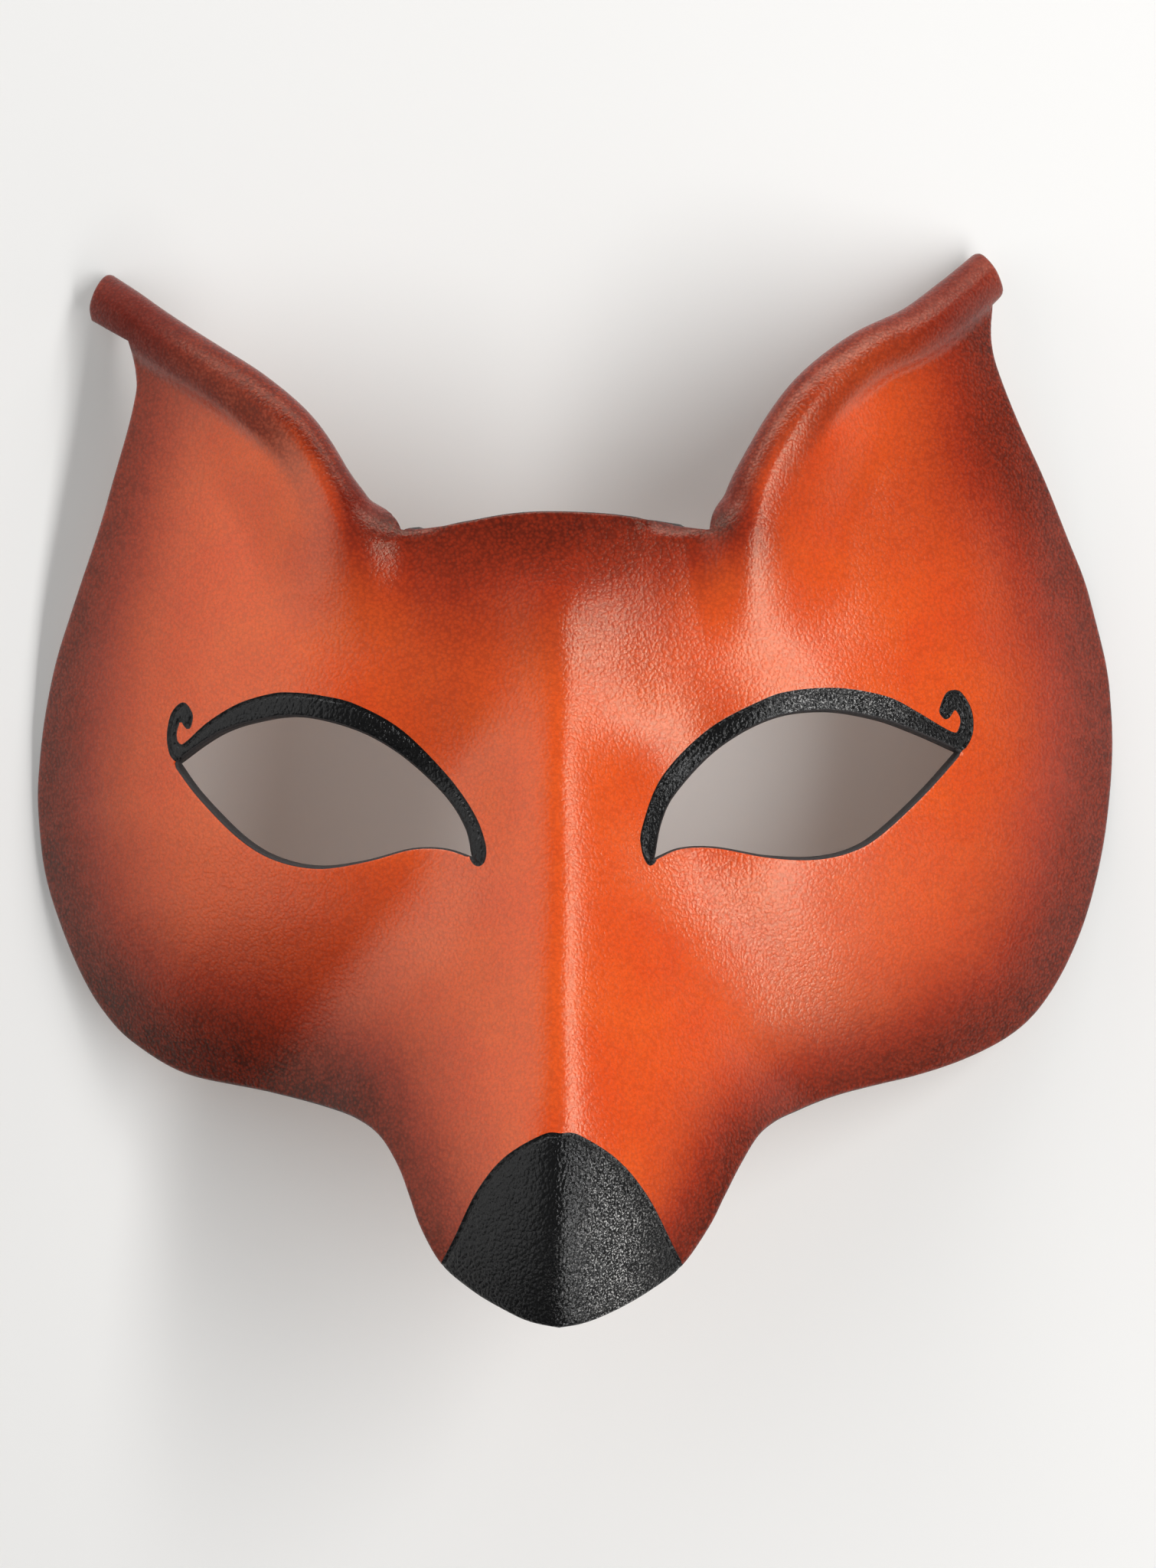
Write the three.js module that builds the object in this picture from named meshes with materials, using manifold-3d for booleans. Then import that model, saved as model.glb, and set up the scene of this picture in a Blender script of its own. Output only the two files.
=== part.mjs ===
// Fox half mask: one sheet of thick leather, wet-formed over a face and a snout, with two eye holes.
// The inner edge of each ear is rolled back on itself. The mask lies face up on its rim.
// Millimetres. +X is the right of the face as seen from the front, +Y runs up to the ears, +Z out
// of the face. The shape is worked out with x = 0 on the crest of the snout and y = 0 at the middle
// of the eyes; the last step moves the finished sheet so that it stands on z = 0 about the origin.

import * as THREE from 'three';
import Module from 'manifold-3d';
import { mergeVertices } from 'three/addons/utils/BufferGeometryUtils.js';

// The sheet
const LEATHER_THICKNESS = 2.8;
const LEATHER_COLOUR = '#b5461d';
const LEATHER_ROUGHNESS = 0.42;

// The bowl of the face: how high the brow stands over the rim, how far down the cheeks it reaches,
// and how squarely it turns down at the sides
const BROW_HEIGHT = 55;
const CHEEK_REACH = 108;
const CHEEK_POWER = 2.4;
const SWEEP_SOFTNESS = 35;
const EAR_DROOP = { from: 70, rate: 0.0028 };
const RIM_TRIM_LEVEL = -1.3;

// The snout: a crest that climbs from the brow to the nose, with a flank on each side
const BRIDGE = { foot: 53.5, start: 36, climb: 0.25, end: -84, curl: 0.62, softness: 14 };

// Profiles along the snout, as pairs of y and a value there: a narrow crest falls off quickly to
// either side, a wider flank falls off slowly, and the blend joins them to the bowl
const CREST_SLOPE = [[8, 0.38], [40, 0.22]];
const CREST_ROUNDING = [[-90, 4.5], [-40, 2.8], [0, 2.6], [30, 3.4]];
const FLANK_SLOPE = [[-20, 0.4], [8, 0.36], [40, 0.1]];
const FLANK_ROUNDING = 10;
const SNOUT_BLEND = [[-40, 9], [0, 5], [30, 3]];

// Soft swellings and hollows: centre, reach across, reach along and height
const BROW_SWELLING = { x: 0, y: 34, across: 13, along: 10, height: 2.8 };
const EYE_SOCKET = { x: 27, y: 1, across: 12, along: 13, height: -5 };
const EAR_HOLLOW = { x: 66, y: 58, across: 18, along: 22, height: -1 };

// The soft ridge that the roll of each ear leaves on the forehead, and the crease under the roll
const RIDGE_REACH = { inward: 13, outward: 19 };
const CREASE_FILLET = 1.2;

// Where the flat brow turns into the roll: distances along the crest before and past the notch, and
// distances across it between which the brow beside the notch stays flat
const NOTCH_BEND = { before: 2, past: 6, near: 12, far: 23 };

// Distances between mesh points, and the rows of points beside the snout's crest and each roll's.
// A clearance is how near a point may come to the others, and to the rim.
const EDGE_STEP = 4.2;
const END_CUT_STEP = 2.7;
const EYE_STEP = 3.6;
const WELD_DISTANCE = 1e-4;
const FIELD = { step: 5.6, jitter: 0.03, clearance: 3.47, rimClearance: 2.8 };
const BRIDGE_ROWS = { across: [0, 3.4, 7.2], from: 44, to: -96, step: 5, clearance: 2, rimClearance: 2.6 };
const ROLL_ROWS = {
  across: [-9, -6.4, -4.9, -2.6, 0, 2.9, 5.8, 8.7, 11.6, 14.5],
  from: 8,
  step: 3.2,
  clearance: 1.3,
  rimClearance: 1.7,
};

// Each ear: the crest of its roll runs from the forehead to the tip. Profiles along it are pairs of
// a distance along the crest and a value there. The end cut is pairs of a distance past the tip and
// a distance across the crest.
const LEFT = {
  side: -1,
  halfWidth: 103.5,
  sweep: 0.17,
  crest: [[-43, 24], [-40.5, 36], [-42, 50], [-50, 65], [-60, 74.5], [-75.8, 85.2], [-90.6, 96]],
  notchAt: 23,
  rise: [[0, 0], [26, 5.5], [55, 5.6], [94, 4.6]],
  rollRadius: [[23, 8], [36, 6], [94, 5.6]],
  wrapDegrees: [[23, 84], [42, 185], [74, 180], [94, 96]],
  creaseFrom: 42,
  creaseTo: 64,
  endCut: [[-1.1, -5], [0.6, -3.4], [1.6, -1.4], [2.4, 2.4], [2.2, 5.8], [1, 9]],
  edge: [[-84.7, 86.7], [-83.1, 80.4], [-83.6, 74.4], [-88.9, 55.9], [-94.2, 40], [-100.2, 22],
    [-103.1, 4], [-103.2, -8], [-101.1, -21], [-95.1, -36.4], [-89.9, -45], [-83.5, -51],
    [-72.6, -56.7], [-55.7, -59.6], [-44, -61.9], [-38.1, -63.9], [-34, -66.9], [-30.7, -72.1],
    [-28.5, -77.5], [-26.1, -83.7], [-22.1, -90.3], [-16.4, -94.9], [-11, -97.9], [-5.7, -100.2],
    [0.3, -101.3]],
  eye: {
    upper: [[-74.2, 4.2], [-65.8, 9.7], [-58, 12.2], [-49.3, 13], [-38.9, 10.5], [-30.2, 5.7],
      [-22.1, -1.6], [-18, -8], [-16.8, -13.3]],
    lower: [[-16.8, -13.3], [-21.7, -11.8], [-28, -11.9], [-36.5, -14.2], [-45.5, -15.6],
      [-53.8, -14.2], [-60.9, -10.2], [-69.2, -2.2], [-74.2, 4.2]],
  },
};
const RIGHT = {
  side: 1,
  halfWidth: 109.2,
  sweep: 0.265,
  crest: [[42, 24], [38.5, 36], [37.8, 50], [41.6, 61.8], [49.8, 74.2], [60.2, 82.8], [71.5, 89],
    [85.4, 100.8]],
  notchAt: 25,
  rise: [[0, 0], [26, 5.5], [55, 5.6], [97, 4.6]],
  rollRadius: [[25, 7.4], [42, 6], [97, 5.6]],
  wrapDegrees: [[25, 71], [44, 185], [77, 180], [97, 96]],
  creaseFrom: 47,
  creaseTo: 69,
  endCut: [[-4, -5.4], [-0.6, -4.8], [0.9, -2], [1.6, 1.4], [1.4, 5.6], [0, 9]],
  edge: [[85.6, 90.9], [85.6, 86.9], [86.7, 81.9], [90.2, 72.6], [95.6, 61], [101.2, 48],
    [105.3, 37.5], [109.1, 22], [110.1, 9.7], [108.7, -8], [106, -21], [102.7, -30.9],
    [97.3, -40.9], [90.9, -48], [81.6, -53.1], [69.3, -56.9], [54.8, -59.8], [45.6, -62.7],
    [41.4, -64.5], [38.2, -67.1], [34.9, -72.2], [32, -77.7], [29.1, -83.4], [23.7, -90.6],
    [17.8, -94.9], [11.5, -98.2], [5.6, -100.4], [0.3, -101.3]],
  eye: {
    upper: [[77.8, 6.4], [70.3, 9.6], [61.7, 12.6], [51.2, 14.1], [40.8, 12.5], [30.8, 7],
      [22.8, -1.3], [20, -7], [18.8, -13.6]],
    lower: [[18.8, -13.6], [23.3, -11.7], [30, -11.6], [39.9, -13.4], [48.5, -13.9], [55.7, -12.6],
      [61.6, -9.4], [70.3, -1.6], [77.8, 6.4]],
  },
};
const BROW_EDGE = [[20.1, 50.4], [10, 51.8], [-0.6, 52.3], [-9.1, 51.8], [-19.7, 50]];

// Value of a profile at a distance, eased from one station to the next
function along(profile, distance) {
  const last = profile.length - 1;
  let i = 0;
  while (i < last - 1 && distance > profile[i + 1][0]) i += 1;
  const [from, start] = profile[i];
  const [to, end] = profile[i + 1];
  return start + (end - start) * THREE.MathUtils.smoothstep(distance, from, to);
}

// The higher of two surfaces, with a fillet of the given width where they meet
function filletMax(a, b, width) {
  const overlap = Math.max(width - Math.abs(a - b), 0) / width;
  return Math.max(a, b) + overlap * overlap * width / 4;
}

// A ramp that starts softly at zero and then climbs one for one
function softRamp(distance, softness) {
  return (distance + Math.hypot(distance, softness)) / 2;
}

function swelling({ x, y, across, along: reach, height }, px, py) {
  return height * Math.exp(-(((px - x) / across) ** 2) - ((py - y) / reach) ** 2);
}

// Height of the face over the rim, before the ears are rolled
function faceHeight(x, y) {
  const { smoothstep, lerp } = THREE.MathUtils;
  const halfWidth = x < 0 ? LEFT.halfWidth : RIGHT.halfWidth;
  const sweep = lerp(LEFT.sweep, RIGHT.sweep, smoothstep(x, -40, 40));
  const fallBack = y < 0
    ? BROW_HEIGHT * (y / CHEEK_REACH) ** 2
    : sweep * (Math.hypot(y, SWEEP_SOFTNESS) - SWEEP_SOFTNESS)
      + EAR_DROOP.rate * Math.max(y - EAR_DROOP.from, 0) ** 2;
  const bend = BROW_HEIGHT * Math.abs(x / halfWidth) ** CHEEK_POWER;
  const bowl = BROW_HEIGHT - bend - fallBack;

  const climb = softRamp(BRIDGE.start - y, BRIDGE.softness) * BRIDGE.climb;
  const curl = softRamp(BRIDGE.end - y, BRIDGE.softness) * BRIDGE.curl;
  const rounding = along(CREST_ROUNDING, y);
  const drop = along(CREST_SLOPE, y) * (Math.hypot(x, rounding) - rounding)
    + along(FLANK_SLOPE, y) * (Math.hypot(x, FLANK_ROUNDING) - FLANK_ROUNDING);
  const snout = BRIDGE.foot + climb - curl - drop - bend - (y < 0 ? 0 : fallBack);

  return filletMax(bowl, snout, along(SNOUT_BLEND, y))
    + swelling(BROW_SWELLING, x, y)
    + swelling(EYE_SOCKET, Math.abs(x), y)
    + swelling(EAR_HOLLOW, Math.abs(x), y);
}

function spline(points) {
  return new THREE.SplineCurve(points.map(([x, y]) => new THREE.Vector2(x, y)));
}

// Points at even steps along a spline, without its last one
function steps(points, step) {
  const curve = spline(points);
  const count = Math.max(1, Math.round(curve.getLength() / step));
  return curve.getSpacedPoints(count).slice(0, -1);
}

// The crest of an ear's roll as a fine polyline that runs on straight past the tip
function crestLine(ear) {
  const segments = 120;
  const extension = 16;
  const line = spline(ear.crest).getSpacedPoints(segments);
  const tip = line[line.length - 1];
  const heading = tip.clone().sub(line[line.length - 2]).normalize();
  line.push(tip.clone().addScaledVector(heading, extension));
  const reached = [0];
  for (let i = 1; i < line.length; i += 1) reached.push(reached[i - 1] + line[i].distanceTo(line[i - 1]));
  return { line, reached, tipAt: reached[line.length - 2] };
}

// Inward side of a step along the crest, at right angles to it
function inwardNormal(ear, from, to) {
  const heading = to.clone().sub(from).normalize();
  return new THREE.Vector2(-heading.y, heading.x).multiplyScalar(ear.side);
}

// Point of the sheet at a distance along the crest and a distance inward across it
function atCrest(ear, distance, across) {
  const { line, reached } = ear.track;
  let i = 1;
  while (i < line.length - 1 && reached[i] < distance) i += 1;
  const share = (distance - reached[i - 1]) / (reached[i] - reached[i - 1]);
  const point = line[i - 1].clone().lerp(line[i], share);
  return point.addScaledVector(inwardNormal(ear, line[i - 1], line[i]), across);
}

// Nearest place on the crest: how far along it, how far inward of it, and its foot
function locate(ear, x, y) {
  const { line, reached } = ear.track;
  const point = new THREE.Vector2(x, y);
  let best = { gap: Infinity };
  for (let i = 1; i < line.length; i += 1) {
    const step = line[i].clone().sub(line[i - 1]);
    const share = THREE.MathUtils.clamp(
      point.clone().sub(line[i - 1]).dot(step) / step.lengthSq(), 0, 1);
    const foot = line[i - 1].clone().addScaledVector(step, share);
    const gap = foot.distanceTo(point);
    if (gap < best.gap) best = { gap, foot, i, distance: reached[i - 1] + share * step.length() };
  }
  const normal = inwardNormal(ear, line[best.i - 1], line[best.i]);
  const across = point.clone().sub(best.foot).dot(normal) < 0 ? -best.gap : best.gap;
  if (best.gap > 1e-6) normal.copy(point).sub(best.foot).divideScalar(across);
  return { distance: best.distance, across, foot: best.foot, normal };
}

LEFT.track = crestLine(LEFT);
RIGHT.track = crestLine(RIGHT);

// Place of a point of the sheet's front once the ears are rolled. Inward of the crest, distances on
// the flat pattern become distances around the roll.
function frontPoint(x, y) {
  const { smoothstep, lerp } = THREE.MathUtils;
  const ear = x < 0 ? LEFT : RIGHT;
  const { distance, across, foot, normal } = locate(ear, x, y);
  const floor = faceHeight(x, y);
  const rise = along(ear.rise, distance);
  const crestHeight = faceHeight(foot.x, foot.y) + rise;
  const radius = along(ear.rollRadius, distance);
  const bell = (reach) => Math.max(1 - (across / reach) ** 2, 0) ** 2;

  if (across <= 0) {
    const soft = floor + rise * bell(RIDGE_REACH.outward);
    const inside = radius ** 2 - across ** 2;
    const tube = rise - radius + (inside > 0 ? Math.sqrt(inside) : radius + across);
    const creased = floor + filletMax(0, tube, CREASE_FILLET);
    const z = lerp(soft, creased, smoothstep(distance, ear.creaseFrom, ear.creaseTo));
    return new THREE.Vector3(x, y, z);
  }
  const past = distance - ear.notchAt;
  const pastNotch = smoothstep(past, -NOTCH_BEND.before, NOTCH_BEND.past);
  const onBrow = smoothstep(across, NOTCH_BEND.near, NOTCH_BEND.far)
    * (1 - smoothstep(past, NOTCH_BEND.past / 2, NOTCH_BEND.past));
  const rolled = pastNotch * (1 - onBrow);
  const curvature = Math.max(rolled, 1e-4) / radius;
  const turn = across * curvature;
  const reach = Math.sin(turn) / curvature;
  const forehead = floor + rise * bell(RIDGE_REACH.inward);
  const z = lerp(forehead, crestHeight, rolled) - (1 - Math.cos(turn)) / curvature;
  return new THREE.Vector3(foot.x + normal.x * reach, foot.y + normal.y * reach, z);
}

// Unit normal of the sheet's front, out of the face
function frontNormal(x, y) {
  const reach = 0.05;
  const alongX = frontPoint(x + reach, y).sub(frontPoint(x - reach, y));
  const alongY = frontPoint(x, y + reach).sub(frontPoint(x, y - reach));
  return alongX.cross(alongY).normalize();
}

// Free edge of the roll on the flat pattern, from the notch beside the brow to the tip
function rollEdge(ear) {
  const reach = (distance) => THREE.MathUtils.degToRad(along(ear.wrapDegrees, distance))
    * along(ear.rollRadius, distance);
  const [past, acrossAtEnd] = ear.endCut[ear.endCut.length - 1];
  const from = ear.notchAt;
  const to = ear.track.tipAt + past;
  const count = Math.round((to - from) / ROLL_ROWS.step);
  const edge = [];
  for (let i = 0; i < count; i += 1) {
    const distance = from + (to - from) * i / count;
    const settle = THREE.MathUtils.smoothstep(i, count - 3, count);
    edge.push(atCrest(ear, distance, THREE.MathUtils.lerp(reach(distance), acrossAtEnd, settle)));
  }
  return edge;
}

// Outline of one side of the sheet, from its notch over the ear and the cheek to the nose tip
function sideOutline(ear) {
  const endCut = ear.endCut.map(([past, across]) => atCrest(ear, ear.track.tipAt + past, across));
  const endPoints = endCut.map((point) => [point.x, point.y]).reverse();
  return [
    ...rollEdge(ear),
    ...steps(endPoints, END_CUT_STEP),
    ...steps([endPoints[endPoints.length - 1], ear.edge[0]], END_CUT_STEP),
    ...steps(ear.edge, EDGE_STEP),
  ];
}

function eyeOutline(ear) {
  return [...steps(ear.eye.upper, EYE_STEP), ...steps(ear.eye.lower, EYE_STEP)];
}

// Whole outline, anticlockwise: left side down to the nose tip, right side up, then the brow
function sheetOutline() {
  const noseTip = LEFT.edge[LEFT.edge.length - 1];
  const right = sideOutline(RIGHT);
  const rightNotch = right[0];
  const left = sideOutline(LEFT);
  const brow = [[rightNotch.x, rightNotch.y], ...BROW_EDGE, [left[0].x, left[0].y]];
  return [
    ...left,
    new THREE.Vector2(...noseTip),
    ...right.slice(1).reverse(),
    ...steps(brow, EDGE_STEP),
  ];
}

function isInside(outline, x, y) {
  let inside = false;
  for (let i = 0, j = outline.length - 1; i < outline.length; j = i, i += 1) {
    const a = outline[i];
    const b = outline[j];
    if ((a.y > y) !== (b.y > y) && x < (b.x - a.x) * (y - a.y) / (b.y - a.y) + a.x) inside = !inside;
  }
  return inside;
}

// Points inside the outline: rows along the snout's crest and each roll, then an even field
function fieldPoints(outline, eyes) {
  const rims = [outline, ...eyes].flat();
  const kept = [];
  const tryPoint = (x, y, { clearance, rimClearance }) => {
    if (!isInside(outline, x, y) || eyes.some((eye) => isInside(eye, x, y))) return;
    const nearer = (least, point) => Math.min(least, Math.hypot(point.x - x, point.y - y));
    const gap = (points) => points.reduce(nearer, Infinity);
    if (gap(rims) < rimClearance || gap(kept) < clearance) return;
    kept.push(new THREE.Vector2(x, y));
  };
  for (let y = BRIDGE_ROWS.from; y > BRIDGE_ROWS.to; y -= BRIDGE_ROWS.step) {
    for (const x of BRIDGE_ROWS.across) {
      tryPoint(x, y, BRIDGE_ROWS);
      tryPoint(-x, y, BRIDGE_ROWS);
    }
  }
  for (const ear of [LEFT, RIGHT]) {
    for (let distance = ROLL_ROWS.from; distance < ear.track.tipAt; distance += ROLL_ROWS.step) {
      for (const across of ROLL_ROWS.across) {
        const { x, y } = atCrest(ear, distance, across);
        tryPoint(x, y, ROLL_ROWS);
      }
    }
  }
  const reach = outline.reduce((most, p) => Math.max(most, Math.abs(p.x), Math.abs(p.y)), 0);
  const rowHeight = FIELD.step * Math.sqrt(3) / 2;
  const rows = Math.ceil(reach / rowHeight);
  for (let row = -rows; row <= rows; row += 1) {
    for (let column = -rows; column <= rows; column += 1) {
      const stagger = (row % 2) / 2 + FIELD.jitter * Math.sin(7 * row + 3 * column);
      tryPoint((column + stagger) * FIELD.step, row * rowHeight, FIELD);
    }
  }
  return kept;
}

// Circle through three points
function circleThrough(points, [a, b, c]) {
  const bx = points[b].x - points[a].x;
  const by = points[b].y - points[a].y;
  const cx = points[c].x - points[a].x;
  const cy = points[c].y - points[a].y;
  const twiceArea = 2 * (bx * cy - by * cx);
  const x = (cy * (bx * bx + by * by) - by * (cx * cx + cy * cy)) / twiceArea;
  const y = (bx * (cx * cx + cy * cy) - cx * (bx * bx + by * by)) / twiceArea;
  return { corners: [a, b, c], x: points[a].x + x, y: points[a].y + y, reach: x * x + y * y };
}

// Delaunay triangles of a set of points, all anticlockwise: each point in turn replaces the
// triangles whose circle holds it
function triangulate(points) {
  const far = 2000;
  const frame = [[-far, -far], [far, -far], [0, far]].map(([x, y]) => new THREE.Vector2(x, y));
  const all = [...points, ...frame];
  const corner = points.length;
  let triangles = [circleThrough(all, [corner, corner + 1, corner + 2])];
  points.forEach((point, index) => {
    const rim = new Map();
    const rest = [];
    for (const triangle of triangles) {
      if ((triangle.x - point.x) ** 2 + (triangle.y - point.y) ** 2 >= triangle.reach) {
        rest.push(triangle);
        continue;
      }
      const [a, b, c] = triangle.corners;
      for (const [from, to] of [[a, b], [b, c], [c, a]]) {
        if (!rim.delete(`${to} ${from}`)) rim.set(`${from} ${to}`, [from, to]);
      }
    }
    for (const [from, to] of rim.values()) rest.push(circleThrough(all, [from, to, index]));
    triangles = rest;
  });
  return triangles.map((triangle) => triangle.corners).filter((corners) => Math.max(...corners) < corner);
}

// The closed sheet: its front, its back one thickness behind, and the cut edge between them
function sheetGeometry() {
  const outline = sheetOutline();
  const eyes = [eyeOutline(LEFT), eyeOutline(RIGHT)];
  const points = [...outline, ...eyes.flat(), ...fieldPoints(outline, eyes)];
  const inSheet = (corners) => {
    const x = corners.reduce((sum, i) => sum + points[i].x, 0) / 3;
    const y = corners.reduce((sum, i) => sum + points[i].y, 0) / 3;
    return isInside(outline, x, y) && !eyes.some((eye) => isInside(eye, x, y));
  };
  const front = triangulate(points).filter(inSheet);

  const positions = [];
  for (const { x, y } of points) positions.push(...frontPoint(x, y));
  for (const { x, y } of points) {
    positions.push(...frontPoint(x, y).addScaledVector(frontNormal(x, y), -LEATHER_THICKNESS));
  }
  const behind = points.length;
  const faces = [];
  const openEdges = new Map();
  for (const [a, b, c] of front) {
    faces.push(a, b, c, behind + a, behind + c, behind + b);
    for (const [from, to] of [[a, b], [b, c], [c, a]]) {
      if (!openEdges.delete(`${to} ${from}`)) openEdges.set(`${from} ${to}`, [from, to]);
    }
  }
  for (const [from, to] of openEdges.values()) {
    faces.push(from, behind + from, behind + to, from, behind + to, to);
  }
  const geometry = new THREE.BufferGeometry();
  geometry.setAttribute('position', new THREE.Float32BufferAttribute(positions, 3));
  geometry.setIndex(faces);
  return geometry;
}

function toSolid(wasm, geometry) {
  const bare = geometry.clone();
  bare.deleteAttribute('normal');
  bare.deleteAttribute('uv');
  const merged = mergeVertices(bare, WELD_DISTANCE);
  return new wasm.Manifold(new wasm.Mesh({
    numProp: 3,
    vertProperties: new Float32Array(merged.attributes.position.array),
    triVerts: new Uint32Array(merged.index.array),
  }));
}

function toGeometry(solid) {
  const { vertProperties, triVerts, numProp } = solid.getMesh();
  const geometry = new THREE.BufferGeometry();
  const positions = [];
  for (let i = 0; i < vertProperties.length; i += numProp) positions.push(...vertProperties.slice(i, i + 3));
  geometry.setAttribute('position', new THREE.Float32BufferAttribute(positions, 3));
  geometry.setIndex([...triVerts]);
  return geometry;
}

// The sheet with its rim trimmed level, so that it lies flat on its cheeks and ear tips
async function maskGeometry() {
  const wasm = await Module();
  wasm.setup();
  const spoil = { width: 300, depth: 60 };
  const below = new THREE.BoxGeometry(spoil.width, spoil.width, spoil.depth);
  below.translate(0, 0, RIM_TRIM_LEVEL - spoil.depth / 2);
  const trimmed = toSolid(wasm, sheetGeometry()).subtract(toSolid(wasm, below));
  const geometry = toGeometry(trimmed);
  geometry.computeBoundingBox();
  const { min, max } = geometry.boundingBox;
  geometry.translate(-(min.x + max.x) / 2, -(min.y + max.y) / 2, -min.z);
  geometry.computeVertexNormals();
  return geometry;
}

const leather = new THREE.MeshStandardMaterial({
  color: LEATHER_COLOUR,
  roughness: LEATHER_ROUGHNESS,
  metalness: 0,
});

const mask = new THREE.Mesh(await maskGeometry(), leather);
mask.name = 'leather_mask';

const foxMask = new THREE.Group();
foxMask.add(mask);

export default foxMask;
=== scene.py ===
"""Fox half mask of wet-formed, dyed leather, lying face up under soft studio light.

The sheet is worked out from the same driving dimensions as its solid, as a finer mesh: the cut lines
around the painted nose and eyeliner, the rounded cut edge and the hand-formed unevenness are
geometry, and the grain of the leather is in its material.
"""

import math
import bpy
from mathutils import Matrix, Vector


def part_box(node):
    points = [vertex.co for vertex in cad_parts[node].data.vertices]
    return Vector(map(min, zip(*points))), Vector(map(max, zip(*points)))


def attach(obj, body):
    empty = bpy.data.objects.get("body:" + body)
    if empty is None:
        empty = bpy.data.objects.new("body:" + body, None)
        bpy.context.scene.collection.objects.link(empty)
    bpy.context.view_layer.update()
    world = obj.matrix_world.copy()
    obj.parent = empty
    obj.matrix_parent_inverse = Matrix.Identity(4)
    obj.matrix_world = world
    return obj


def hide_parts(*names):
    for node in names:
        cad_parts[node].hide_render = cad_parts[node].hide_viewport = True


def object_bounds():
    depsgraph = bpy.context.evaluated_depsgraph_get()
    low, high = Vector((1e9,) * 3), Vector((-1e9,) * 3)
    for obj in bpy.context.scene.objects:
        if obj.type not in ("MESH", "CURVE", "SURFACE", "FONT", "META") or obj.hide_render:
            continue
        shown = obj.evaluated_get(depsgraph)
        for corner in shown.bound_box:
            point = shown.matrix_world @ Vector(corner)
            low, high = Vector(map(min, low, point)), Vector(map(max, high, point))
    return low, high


bl_info = {
    "name": "Leather fox half mask",
    "version": (1, 0, 0),
    "blender": (4, 5, 0),
    "location": "3D View > Sidebar > Fox mask",
    "description": "Builds a wet-formed leather fox half mask and the studio around it",
    "category": "Add Mesh",
}

import bmesh
import bpy
import numpy as np
from bpy.props import FloatProperty, FloatVectorProperty, PointerProperty
from mathutils import Vector, kdtree, noise
from mathutils.geometry import delaunay_2d_cdt

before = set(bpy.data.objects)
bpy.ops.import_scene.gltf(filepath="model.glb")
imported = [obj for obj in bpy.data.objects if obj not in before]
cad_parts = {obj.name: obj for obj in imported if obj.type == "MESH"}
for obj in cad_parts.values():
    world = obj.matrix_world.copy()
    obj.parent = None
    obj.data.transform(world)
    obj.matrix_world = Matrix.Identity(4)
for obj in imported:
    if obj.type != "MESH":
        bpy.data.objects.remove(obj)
CAD_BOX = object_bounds()
SHEET_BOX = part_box("leather_mask")

# All shapes are in millimetres, and become metres when a mesh is made
MM = 0.001

# The flat pattern has x = 0 on the crest of the snout and y = 0 at the middle of the eyes. This is
# the place of that point in the frame that the mask stands in.
PATTERN_ORIGIN = np.array((-3.3, -2.07, 1.3))

# The bowl of the face
BROW_HEIGHT = 55.0
CHEEK_REACH = 108.0
CHEEK_POWER = 2.4
SWEEP_SOFTNESS = 35.0
SWEEP_MEETS = 40.0
EAR_DROOP = {"start": 70.0, "rate": 0.0028}

# The snout
BRIDGE = {"foot": 53.5, "start": 36.0, "climb": 0.25, "end": -84.0, "curl": 0.62, "softness": 14.0}
CREST_SLOPE = [(8, 0.38), (40, 0.22)]
CREST_ROUNDING = [(-90, 4.5), (-40, 2.8), (0, 2.6), (30, 3.4)]
FLANK_SLOPE = [(-20, 0.4), (8, 0.36), (40, 0.1)]
FLANK_ROUNDING = 10.0
SNOUT_BLEND = [(-40, 9), (0, 5), (30, 3)]

# Soft swellings and hollows: centre, reach across, reach along and height
BROW_SWELLING = (0.0, 34.0, 13.0, 10.0, 2.8)
EYE_SOCKET = (27.0, 1.0, 12.0, 13.0, -5.0)
EAR_HOLLOW = (66.0, 58.0, 18.0, 22.0, -1.0)

# The ridge that the roll of each ear leaves on the forehead, the crease under the roll, and where
# the flat brow turns into the roll
RIDGE_REACH = {"inward": 13.0, "outward": 19.0}
CREASE_FILLET = 1.2
NOTCH_BEND = {"before": 2.0, "past": 6.0, "near": 12.0, "far": 23.0, "settle": 9.6}

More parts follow.
